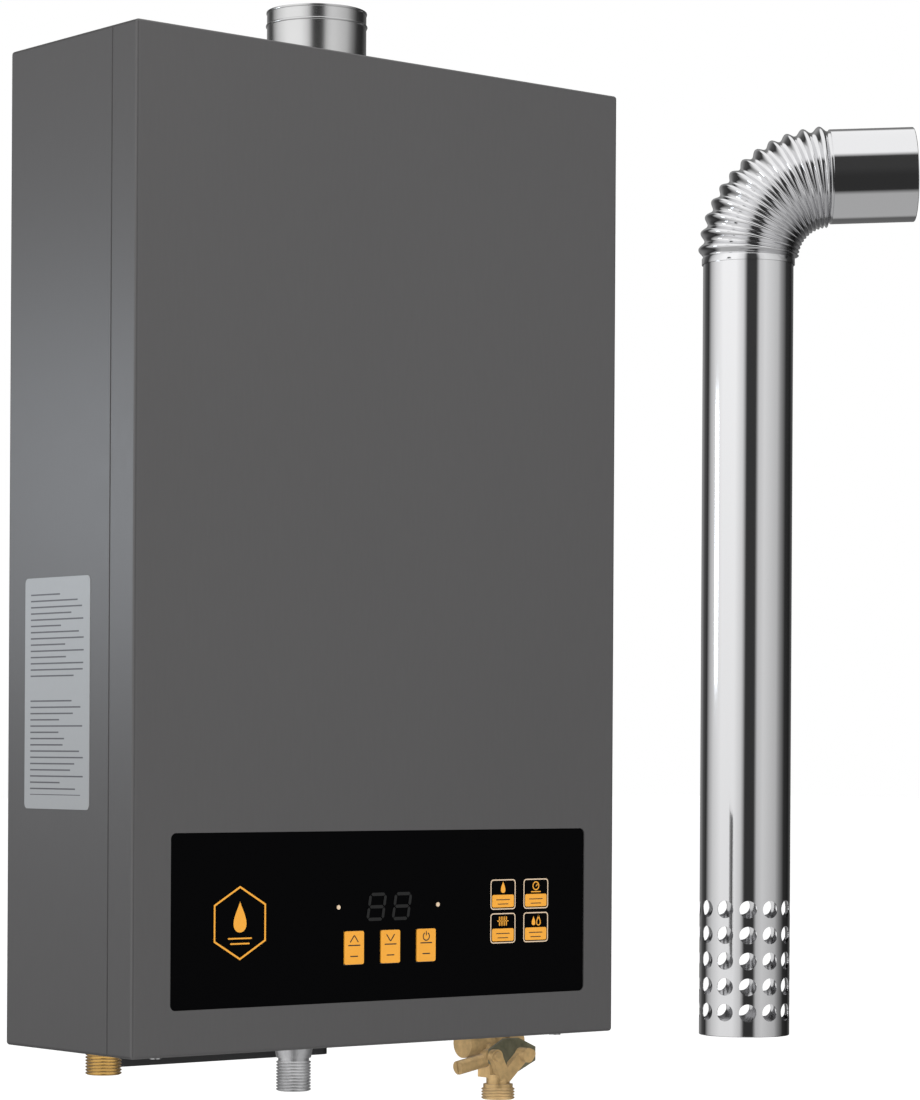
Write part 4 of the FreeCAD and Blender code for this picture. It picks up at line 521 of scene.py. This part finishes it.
class HEATER_OT_stage(bpy.types.Operator):
    """Floor, sky, lights and the camera at the photograph's viewing angle"""

    bl_idname = "heater.stage"
    bl_label = "Stage"

    def execute(self, context):
        self.floor()
        self.sky(context.scene)
        self.lights()
        self.camera(context.scene)
        context.scene.view_settings.view_transform = "Standard"
        return {"FINISHED"}

    def floor(self):
        """Pale floor below the heater, which metal doesn't mirror."""
        clear_selection()
        bpy.ops.mesh.primitive_plane_add(size=60, location=(0, 0, look().floor_height))
        plane = bpy.context.object
        bpy.ops.object.transform_apply(location=True)
        plane.name = "studio_floor"
        ground = Finish("studio_floor", grey(0.93), 0.9)
        ground.set("Base Color", ground.mix(ground.noise(3.0), grey(0.92), grey(0.94)))
        ground.set("Emission Color", (1.0, 1.0, 1.0, 1.0))
        ground.set("Emission Strength", 0.5)
        plane.data.materials.append(ground.material)
        plane.visible_glossy = False

    def sky(self, scene):
        """White backdrop; metal mirrors soft dark and light bands, and the rest gets an even light."""
        even_light, overhead, underfoot = 0.6, 1.15, 0.5
        world = bpy.data.worlds.new("studio_sky")
        scene.world = world
        sky = ShaderNodes(world)
        east, north, up = sky.axes(sky.node("ShaderNodeTexCoord", {}, {}, "Generated"))
        around = east.math("ARCTAN2", north) * (0.5 / math.pi) + 0.5
        height = up * 0.5 + 0.5
        bands = sky.ramp(around, *[(bearing / 360 + 0.5, grey(level)) for bearing, level in BEARINGS])
        graded = sky.ramp(height, (0.44, grey(0.72)), (0.6, grey(1.02)))
        bands = sky.mix(1.0, bands, graded, "MULTIPLY")
        above = sky.ramp(height, (0.82, grey(0.0)), (0.88, grey(1.0)))
        below = sky.ramp(height, (0.1, grey(1.0)), (0.16, grey(0.0)))
        bands = sky.mix(below, sky.mix(above, bands, grey(overhead)), grey(underfoot))
        mirrored = sky.node("ShaderNodeLightPath", {}, {}, "Is Glossy Ray")
        seen = sky.node("ShaderNodeLightPath", {}, {}, "Is Camera Ray")
        colour = sky.mix(seen, sky.mix(mirrored, grey(even_light), bands), grey(1.0))
        glow = sky.node("ShaderNodeBackground", {}, {"Color": colour, "Strength": 1.0})
        output = sky.tree.nodes.new("ShaderNodeOutputWorld")
        sky.feed(output.inputs["Surface"], glow)

    def lights(self):
        """Soft boxes: large ones at the front left and right, a small one behind the left side."""
        for name, place, aim, size, power, colour, mirrored in SOFT_BOXES:
            clear_selection()
            bpy.ops.object.light_add(type="AREA", location=place)
            lamp = bpy.context.object
            lamp.name = name
            lamp.rotation_euler = (Vector(aim) - Vector(place)).to_track_quat("-Z", "Y").to_euler()
            lamp.data.shape = "RECTANGLE"
            lamp.data.size, lamp.data.size_y = size
            lamp.data.energy = power
            lamp.data.color = colour
            lamp.visible_camera = False
            lamp.visible_glossy = mirrored

    def camera(self, scene):
        """Level camera fitted to the corners of the case in the photograph."""
        place = Vector((-1.3054, -1.7726, -0.1183))
        bearing, roll = math.radians(39.651), math.radians(0.322)
        focal_pixels, frame_height_pixels, horizon_pixel = 3565.1, 1100, 753.3
        ahead = Vector((math.sin(bearing), math.cos(bearing), 0))
        level = Vector((math.cos(bearing), -math.sin(bearing), 0))
        right = math.cos(roll) * level + Vector((0, 0, math.sin(roll)))
        upward = Vector((0, 0, math.cos(roll))) - math.sin(roll) * level
        turn = Matrix((right, upward, -ahead)).transposed().to_4x4()
        lens = bpy.data.cameras.new("photo_view")
        lens.sensor_width = 36.0
        lens.lens = focal_pixels / frame_height_pixels * lens.sensor_width
        lens.shift_y = horizon_pixel / frame_height_pixels - 0.5
        lens.clip_start, lens.clip_end = 0.05, 100.0
        camera = bpy.data.objects.new("photo_view", lens)
        camera.matrix_world = Matrix.Translation(place) @ turn
        scene.collection.objects.link(camera)
        scene.camera = camera


class HEATER_OT_finishes(bpy.types.Operator):
    """Give every frame node its finish"""

    bl_idname = "heater.finishes"
    bl_label = "Finishes"

    def execute(self, context):
        make_finishes()
        for part in frame["record"]["subparts"]:
            node = NODES[part["node"]]
            node.data.materials.clear()
            node.data.materials.append(FINISHES[part["material_slot"]].material)
        for name, node in NODES.items():
            # In the photograph the pipe mirrors only its surroundings
            node.visible_glossy = name.startswith("flue")
        return {"FINISHED"}


def polygon(x, z, radius, count):
    """Points of a regular polygon about a middle, the first at its top."""
    angles = [2 * math.pi * step / count for step in range(count)]
    return [(x + radius * math.sin(angle), z + radius * math.cos(angle)) for angle in angles]


def rounded(low, high, corner, steps=5):
    """Points of a rectangle with rounded corners between two (x, z) corners."""
    left, right = low[0] + corner, high[0] - corner
    bottom, top = low[1] + corner, high[1] - corner
    points = []
    for quarter, (x, z) in enumerate(((right, top), (right, bottom), (left, bottom), (left, top))):
        for step in range(steps + 1):
            angle = (quarter + step / steps) * math.pi / 2
            points.append((x + corner * math.sin(angle), z + corner * math.cos(angle)))
    return points


def drop(x, z, radius, steps=28):
    """Points of a water drop with its tip up."""
    taper, stretch = 1.6, 1.35
    angles = [2 * math.pi * step / steps for step in range(steps)]
    return [(x + radius * math.sin(angle) * math.sin(angle / 2) ** taper,
             z + radius * stretch * math.cos(angle)) for angle in angles]


def stroke(start, end, width):
    """Points of a stroke with pointed ends."""
    start, end = Vector(start), Vector(end)
    along = (end - start).normalized() * (width / 2)
    side = Vector((-along.y, along.x))
    return [tuple(point) for point in (start, start + along + side, end - along + side, end,
                                       end - along - side, start + along - side)]


def dash(x, z, reach, width):
    """Points of a level stroke that reaches as far to each side of its middle."""
    return stroke((x - reach, z), (x + reach, z), width)


def draw_mark(points, y, line, thickness):
    """In edit mode, add a flat mark with an outline of (x, z) points, or a frame of that line width."""
    draw_loop([Vector((x, y, z)) for x, z in points])
    bpy.ops.mesh.edge_face_add()
    if line:
        bpy.ops.mesh.inset(thickness=line)
        bpy.ops.mesh.delete(type="ONLY_FACE")
        bpy.ops.mesh.select_mode(type="VERT")
        mesh = bmesh.from_edit_mesh(bpy.context.object.data)
        mesh.verts.ensure_lookup_table()
        mesh.verts[-1].select_set(True)
        mesh.select_flush_mode()
        bpy.ops.mesh.select_linked()
    bpy.ops.mesh.extrude_region_move(TRANSFORM_OT_translate={"value": (0, -thickness, 0)})
    bpy.ops.mesh.select_linked()
    bpy.ops.mesh.normals_make_consistent(inside=False)


def marks(name, shapes, y, body, slot, thickness=MARK_THICKNESS):
    """Marks printed on a face at y: each shape is its outline and its line width, 0 for a filled one."""
    empty_mesh()
    for points, line in shapes:
        draw_mark(points, y, line, thickness)
    bpy.ops.object.mode_set(mode="OBJECT")
    finished(name, body, slot)


class HEATER_OT_collar(bpy.types.Operator):
    """Spun flue collar with a rolled rim, a bead and a flange"""

    bl_idname = "heater.collar"
    bl_label = "Flue collar"

    def execute(self, context):
        low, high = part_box("flue_collar")
        axis = middle("flue_collar")
        top, bore = high.z, FLUE_RADIUS - SHEET
        flange_radius, flange_top = (high.x - low.x) / 2, low.z + 0.0012
        bead_drop, bead_swell, rim_swell, half_turn_steps = 0.0085, 0.0007, 0.0004, 8
        profile = [(bore, low.z), (flange_radius, low.z), (flange_radius, flange_top)]
        profile += [(FLUE_RADIUS + out, flange_top + up)
                    for out, up in ((0.0012, 0), (0.0003, 0.0004), (0, 0.0014))]
        for level, swell in ((top - bead_drop, bead_swell), (top - SHEET, rim_swell)):
            for step in range(half_turn_steps + 1):
                angle = math.pi * step / half_turn_steps
                height = level - 1.4 * SHEET * math.cos(angle)
                profile.append((FLUE_RADIUS + swell * math.sin(angle), min(height, top)))
        profile.append((bore, top - 0.0002))
        spun(profile, Vector((axis.x, axis.y, 0)), Vector((0, 0, 1)), steps=128)
        smooth(40)
        finished("flue_collar_spun", "heater", "collar_steel", ["flue_collar"])
        return {"FINISHED"}


class HEATER_OT_panel_window(bpy.types.Operator):
    """Gloss panel with a bevelled face, a flange behind the sheet, and openings for keys and lenses"""

    bl_idname = "heater.panel_window"
    bl_label = "Control panel"

    def execute(self, context):
        low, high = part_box("panel_window")
        flange, proud, bevel, corner = 0.0032, 0.0003, 0.0014, 0.0035
        flange_front = low.y + proud
        empty_mesh()
        outline = rounded((low.x, low.z), (high.x, high.z), corner + flange, 8)
        draw_mark(outline, high.y, 0, high.y - flange_front)
        self.select_front(flange_front)
        bpy.ops.mesh.inset(thickness=flange)
        bpy.ops.mesh.inset(thickness=bevel, depth=proud)
        bpy.ops.mesh.select_all(action="SELECT")
        bpy.ops.mesh.normals_make_consistent(inside=False)
        bpy.ops.object.mode_set(mode="OBJECT")
        window = bpy.context.object
        for key in KEYS:
            self.key_opening(window, key)
        lens_low, lens_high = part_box("indicator_lenses")
        radius = (lens_high.z - lens_low.z) / 2
        for x in (lens_low.x + radius, lens_high.x - radius):
            self.lens_hole(window, x, radius)
        smooth(8)
        finished("panel_face", "cover", "panel_gloss", ["panel_window"])
        return {"FINISHED"}

    def select_front(self, y):
        """Select the face at the front."""
        mesh = bmesh.from_edit_mesh(bpy.context.object.data)
        for face in mesh.faces:
            face.select_set(abs(face.normal.y) > 0.9 and abs(face.calc_center_median().y - y) < 0.00001)
        mesh.select_flush_mode()
        bmesh.update_edit_mesh(bpy.context.object.data)

    def key_opening(self, window, key):
        """Cut the opening of one key, a little larger than the cap in front of the key's flange."""
        key_flange, clearance, eased_share = 0.0012, 0.0002, 0.0012
        low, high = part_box(key)
        x, z = middle(key).x, middle(key).z
        trim = 2 * (key_flange - clearance)
        clear_selection()
        bpy.ops.mesh.primitive_cube_add(size=1, location=(x, middle("panel_window").y, z),
                                        scale=(high.x - low.x - trim, CUTTER_DEPTH, high.z - low.z - trim))
        cutter = bpy.context.object
        bpy.ops.object.mode_set(mode="EDIT")
        mesh = bmesh.from_edit_mesh(cutter.data)
        for edge in mesh.edges:
            start, end = [vert.co for vert in edge.verts]
            edge.select_set(abs(start.y - end.y) > 0.5)
        bpy.ops.mesh.bevel(offset=eased_share, segments=4)
        bpy.ops.object.mode_set(mode="OBJECT")
        boolean(window, cutter)

    def lens_hole(self, window, x, radius):
        """Cut the hole of one lens."""
        clearance = 0.00005
        place = (x, middle("panel_window").y, middle("indicator_lenses").z)
        clear_selection()
        bpy.ops.mesh.primitive_cylinder_add(vertices=32, radius=radius + clearance, depth=CUTTER_DEPTH,
                                            location=place, rotation=(math.pi / 2, 0, 0))
        boolean(window, bpy.context.object)


class HEATER_OT_panel_marks(bpy.types.Operator):
    """Generic marks on the panel: a hexagon badge, two unlit digits and four function squares"""

    bl_idname = "heater.panel_marks"
    bl_label = "Panel marks"

    def execute(self, context):
        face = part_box("panel_window")[0].y
        centre = middle("panel_window")
        # Each group's place across and up from the middle of the panel
        for draw, across, up in ((self.badge, -0.1065, -0.0017), (self.digits, 0.0, 0.0053),
                                 (self.squares, 0.1031, 0.0003)):
            draw(centre.x + across, centre.z + up, face)
        return {"FINISHED"}

    def badge(self, x, z, y):
        """Hexagon frame with a drop above two level strokes."""
        line = look().line_width
        hexagon_radius, drop_radius, drop_rise = 0.0212, 0.0066, 0.0035
        reach, shortening, fall, pitch = 0.0085, 0.0015, 0.0088, 0.003
        shapes = [(polygon(x, z, hexagon_radius, 6), line), (drop(x, z + drop_rise, drop_radius), 0)]
        for row in range(2):
            shapes.append((dash(x, z - fall - pitch * row, reach - shortening * row, line * 0.8), 0))
        marks("badge_frame", shapes, y, "cover", "key_orange")

    def digits(self, x, z, y):
        """Two unlit slanted digits of seven segments."""
        wide, half_tall, lean, width, gap = 0.0112, 0.0073, 0.001168, 0.0019, 0.0004
        first, pitch = -0.0141, 0.019
        segments = [((0, level), (1, level)) for level in (0, 1, 2)]
        segments += [((side, level), (side, level + 1)) for side in (0, 1) for level in (0, 1)]
        shapes = []
        for digit in range(2):
            left = x + first + pitch * digit
            for ends in segments:
                start, end = [Vector((left + side * wide + level * lean, z + (level - 1) * half_tall))
                              for side, level in ends]
                along = (end - start).normalized() * gap
                shapes.append((stroke(start + along, end - along, width), 0))
        marks("unlit_digits", shapes, y, "cover", "display_dark")

    def squares(self, x, z, y):
        """Four function squares, each a frame, a coloured lower half with two strokes and a pictogram."""
        line = fine_line()
        half_width, half_height, corner, inset = 0.0099, 0.0091, 0.0022, 2 * line
        pitch_x, pitch_z, seam, sign_rise = 0.0262, 0.0204, 0.0002, half_height * 0.48
        rule_fall, rule_pitch, rule_reach, shortening = 0.0032, 0.0026, 0.0055, 0.0012
        frames, fields, signs, rules = [], [], [], []
        for column, row in ((0, 0), (1, 0), (0, 1), (1, 1)):
            centre, level = x + (column - 0.5) * pitch_x, z + (0.5 - row) * pitch_z
            left, right = centre - half_width, centre + half_width
            bottom, top = level - half_height, level + half_height
            frames.append((rounded((left, bottom), (right, top), corner), line))
            field = rounded((left + inset, bottom + inset), (right - inset, level - seam), corner / 2)
            fields.append((field, 0))
            signs += self.pictogram(2 * row + column, centre, level + sign_rise, line)
            for step in range(2):
                rule_level, reach = level - rule_fall - rule_pitch * step, rule_reach - shortening * step
                rules.append((dash(centre, rule_level, reach, line * 0.8), 0))
        marks("square_frames", frames, y, "cover", "lens_pale")
        marks("square_fields", fields, y, "cover", "key_orange")
        marks("square_signs", signs, y, "cover", "key_orange")
        marks("square_rules", rules, y - MARK_THICKNESS, "cover", "housing_black", 0.00003)

    def pictogram(self, kind, x, z, line):
        """Drop, dial, radiator or two drops."""
        if kind == 0:
            return [(drop(x, z, 0.0026), 0)]
        if kind == 1:
            dial, hand = polygon(x, z + 0.0004, 0.0027, 24), stroke((x, z), (x + 0.0015, z + 0.0016), line)
            return [(dial, line), (hand, 0), (dash(x, z - 0.0032, 0.004, line), 0)]
        if kind == 2:
            bars = [x + 0.0014 * step for step in range(-2, 3)]
            upright = [(stroke((bar, z - 0.003), (bar, z + 0.0028), line), 0) for bar in bars]
            return upright + [(dash(x, z, 0.0045, line), 0)]
        return [(drop(x - 0.0018, z - 0.0004, 0.0021), 0), (drop(x + 0.0022, z, 0.0026), line)]


class HEATER_OT_key_marks(bpy.types.Operator):
    """Dark marks on the three keys: up, down and power, each over two thin lines"""

    bl_idname = "heater.key_marks"
    bl_label = "Key marks"

    def execute(self, context):
        line = fine_line()
        rise, half_width, half_height = 0.0052, 0.0031, 0.0021
        falls_and_reaches = ((0.0038, 0.0046), (0.0102, 0.003))
        for key in KEYS:
            x, z = middle(key).x, middle(key).z + rise
            shapes = [(dash(x, z - fall, reach, line), 0) for fall, reach in falls_and_reaches]
            if key == "key_power":
                shapes += self.power(x, z, line)
            else:
                tip = half_height if key == "key_up" else -half_height
                for side in (-half_width, half_width):
                    shapes.append((stroke((x + side, z - tip), (x, z + tip), line), 0))
            marks(key + "_mark", shapes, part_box(key)[0].y, key, "housing_black")
        return {"FINISHED"}

    def power(self, x, z, line):
        """Open ring with an upright stroke in its gap."""
        radius, gap, steps = 0.0027, 0.55, 18
        turns = [gap + (2 * math.pi - 2 * gap) * step / steps for step in range(steps + 1)]
        outer, inner = [[(x + reach * math.sin(turn), z + reach * math.cos(turn)) for turn in turns]
                        for reach in (radius, radius - line)]
        return [(outer + inner[::-1], 0), (stroke((x, z + 0.0005), (x, z + radius + 0.0006), line), 0)]


class HEATER_OT_flue_pipe(bpy.types.Operator):
    """Polished flue pipe with rows of round holes at its outer end"""

    bl_idname = "heater.flue_pipe"
    bl_label = "Flue pipe"

    def execute(self, context):
        low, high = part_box("flue_tube")
        axis = middle("flue_tube")
        curl, bore = 0.0004, FLUE_RADIUS - SHEET
        profile = [(bore, low.z + curl), (FLUE_RADIUS - SHEET / 2, low.z), (FLUE_RADIUS, low.z + curl),
                   (FLUE_RADIUS, high.z), (bore, high.z)]
        spun(profile, Vector((axis.x, axis.y, 0)), Vector((0, 0, 1)), steps=240)
        bpy.ops.object.transform_apply(location=True, rotation=True)
        pipe = bpy.context.object
        boolean(pipe, self.drills(axis, low.z))
        smooth(30)
        finished("flue_pipe", "heater", "flue_chrome", ["flue_tube"])
        return {"FINISHED"}

    def drills(self, axis, foot):
        """Short drills for rows of holes round the pipe's wall, as one object."""
        hole_radius, pitch, margin, rows, columns = 0.00575, 0.017, 0.016, 5, 12
        empty_mesh()
        for row in range(rows):
            for column in range(columns):
                angle = FLUE_TURN + 2 * math.pi * column / columns
                place = (axis.x + FLUE_RADIUS * math.sin(angle), axis.y - FLUE_RADIUS * math.cos(angle),
                         foot + margin + row * pitch)
                bpy.ops.mesh.primitive_cylinder_add(vertices=40, radius=hole_radius, depth=FLUE_RADIUS / 2,
                                                    location=place, rotation=(math.pi / 2, 0, angle))
        bpy.ops.object.mode_set(mode="OBJECT")
        return bpy.context.object


class HEATER_OT_flue_elbow(bpy.types.Operator):
    """Crimped elbow whose ribs swell round the bend, with its skirt, and the stub on its end"""

    bl_idname = "heater.flue_elbow"
    bl_label = "Flue elbow"

    bend_radius, bend_angle, rib_height = 0.0544, math.radians(88), 0.0034

    def execute(self, context):
        clearance = Vector((0, 0, 0.0003))
        pipe = middle("flue_tube")
        self.base = Vector((pipe.x, pipe.y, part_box("flue_tube")[1].z)) + clearance
        self.elbow()
        self.stub()
        return {"FINISHED"}

    def station(self, angle):
        """Middle of the elbow's section and the way out of it, at an angle round the bend."""
        away, up = Vector((math.cos(FLUE_TURN), math.sin(FLUE_TURN), 0)), Vector((0, 0, 1))
        centre = self.base + self.bend_radius * (away * (1 - math.cos(angle)) + up * math.sin(angle))
        return centre, away * math.sin(angle) + up * math.cos(angle)

    def rise(self, share):
        """Height at a share of the way from one valley to the next: a rounded crest between them."""
        narrowing = 1.15
        return self.rib_height * (0.5 - 0.5 * math.cos(2 * math.pi * share)) ** narrowing

    def elbow(self):
        """Extrude a ring round the bend, swelling and shrinking over the ribs."""
        skirt_radius, neck_radius = FLUE_RADIUS + 0.0009, FLUE_RADIUS + 0.00036
        skirt_length, lip = 0.0046, 0.0008
        rings_per_rib = 14
        steps = rings_per_rib * look().rib_count
        up = Vector((0, 0, 1))
        rings = [(self.base - up * fall, up, skirt_radius) for fall in (skirt_length, lip)]
        rings.append((self.base, up, neck_radius))
        for step in range(1, steps):
            centre, way = self.station(self.bend_angle * step / steps)
            rings.append((centre, way, FLUE_RADIUS + self.rise(step / rings_per_rib % 1.0)))
        end, way = self.station(self.bend_angle)
        rings += [(end, way, FLUE_RADIUS), (end + way * SPIGOT, way, FLUE_RADIUS)]
        self.ringed(rings)
        modify("SOLIDIFY", thickness=SHEET, offset=-1.0)
        smooth(50)
        finished("flue_elbow_crimped", "elbow", "flue_chrome", ["flue_elbow"])

    def ringed(self, rings):
        """Skin a row of rings, each a middle, a direction and a radius."""
        clear_selection()
        bpy.ops.mesh.primitive_circle_add(vertices=112, radius=1)
        piece = bpy.context.object
        bpy.ops.object.mode_set(mode="EDIT")
        for _ in rings[1:]:
            bpy.ops.mesh.extrude_edges_move(TRANSFORM_OT_translate={"value": (0, 0, 1)})
        bpy.ops.object.mode_set(mode="OBJECT")
        across = Vector((-math.sin(FLUE_TURN), math.cos(FLUE_TURN), 0))
        for vert in piece.data.vertices:
            centre, way, radius = rings[round(vert.co.z)]
            vert.co = centre + (across.cross(way) * vert.co.x + across * vert.co.y) * radius
        bpy.ops.object.mode_set(mode="EDIT")
        bpy.ops.mesh.select_all(action="SELECT")
        bpy.ops.mesh.normals_make_consistent(inside=False)
        bpy.ops.object.mode_set(mode="OBJECT")

    def stub(self):
        """Plain sleeve over the elbow's end, with eased edges and a stop inside."""
        end, way = self.station(self.bend_angle)
        radius, length, ease = 0.0312, 0.056, 0.0004
        bore, stop = radius - SHEET, FLUE_RADIUS - SHEET
        profile = [(stop, 0), (radius - 0.0003, 0), (radius, ease), (radius, length - ease),
                   (radius - 0.0003, length), (bore, length), (bore, SPIGOT), (stop, SPIGOT)]
        spun(profile, end + way * SPIGOT, way, steps=160)
        smooth(35)
        finished("flue_stub_sleeve", "elbow", "flue_chrome", ["flue_stub"])


class HEATER_PT_panel(bpy.types.Panel):
    """Sidebar panel with the settings and the steps"""

    bl_idname = "HEATER_PT_panel"
    bl_label = "Gas water heater"
    bl_space_type = "VIEW_3D"
    bl_region_type = "UI"
    bl_category = "Heater"

    def draw(self, context):
        settings = context.scene.heater_look
        for name in settings.bl_rna.properties.keys():
            if name not in ("rna_type", "name"):
                self.layout.prop(settings, name)
        for step in STEPS:
            self.layout.operator(step.bl_idname)


STEPS = (
    HEATER_OT_stage,
    HEATER_OT_finishes,
    HEATER_OT_collar,
    HEATER_OT_panel_window,
    HEATER_OT_panel_marks,
    HEATER_OT_key_marks,
    HEATER_OT_flue_pipe,
    HEATER_OT_flue_elbow,
)


def register():
    """Register the classes and the settings."""
    for item in (HeaterLook, *STEPS, HEATER_PT_panel):
        bpy.utils.register_class(item)
    bpy.types.Scene.heater_look = PointerProperty(type=HeaterLook)


def unregister():
    """Take the classes and the settings away again."""
    del bpy.types.Scene.heater_look
    for item in reversed((HeaterLook, *STEPS, HEATER_PT_panel)):
        bpy.utils.unregister_class(item)


def main():
    """Run every step."""
    register()
    for step in STEPS:
        group, name = step.bl_idname.split(".")
        getattr(getattr(bpy.ops, group), name)()


if __name__ == "__main__":
    main()
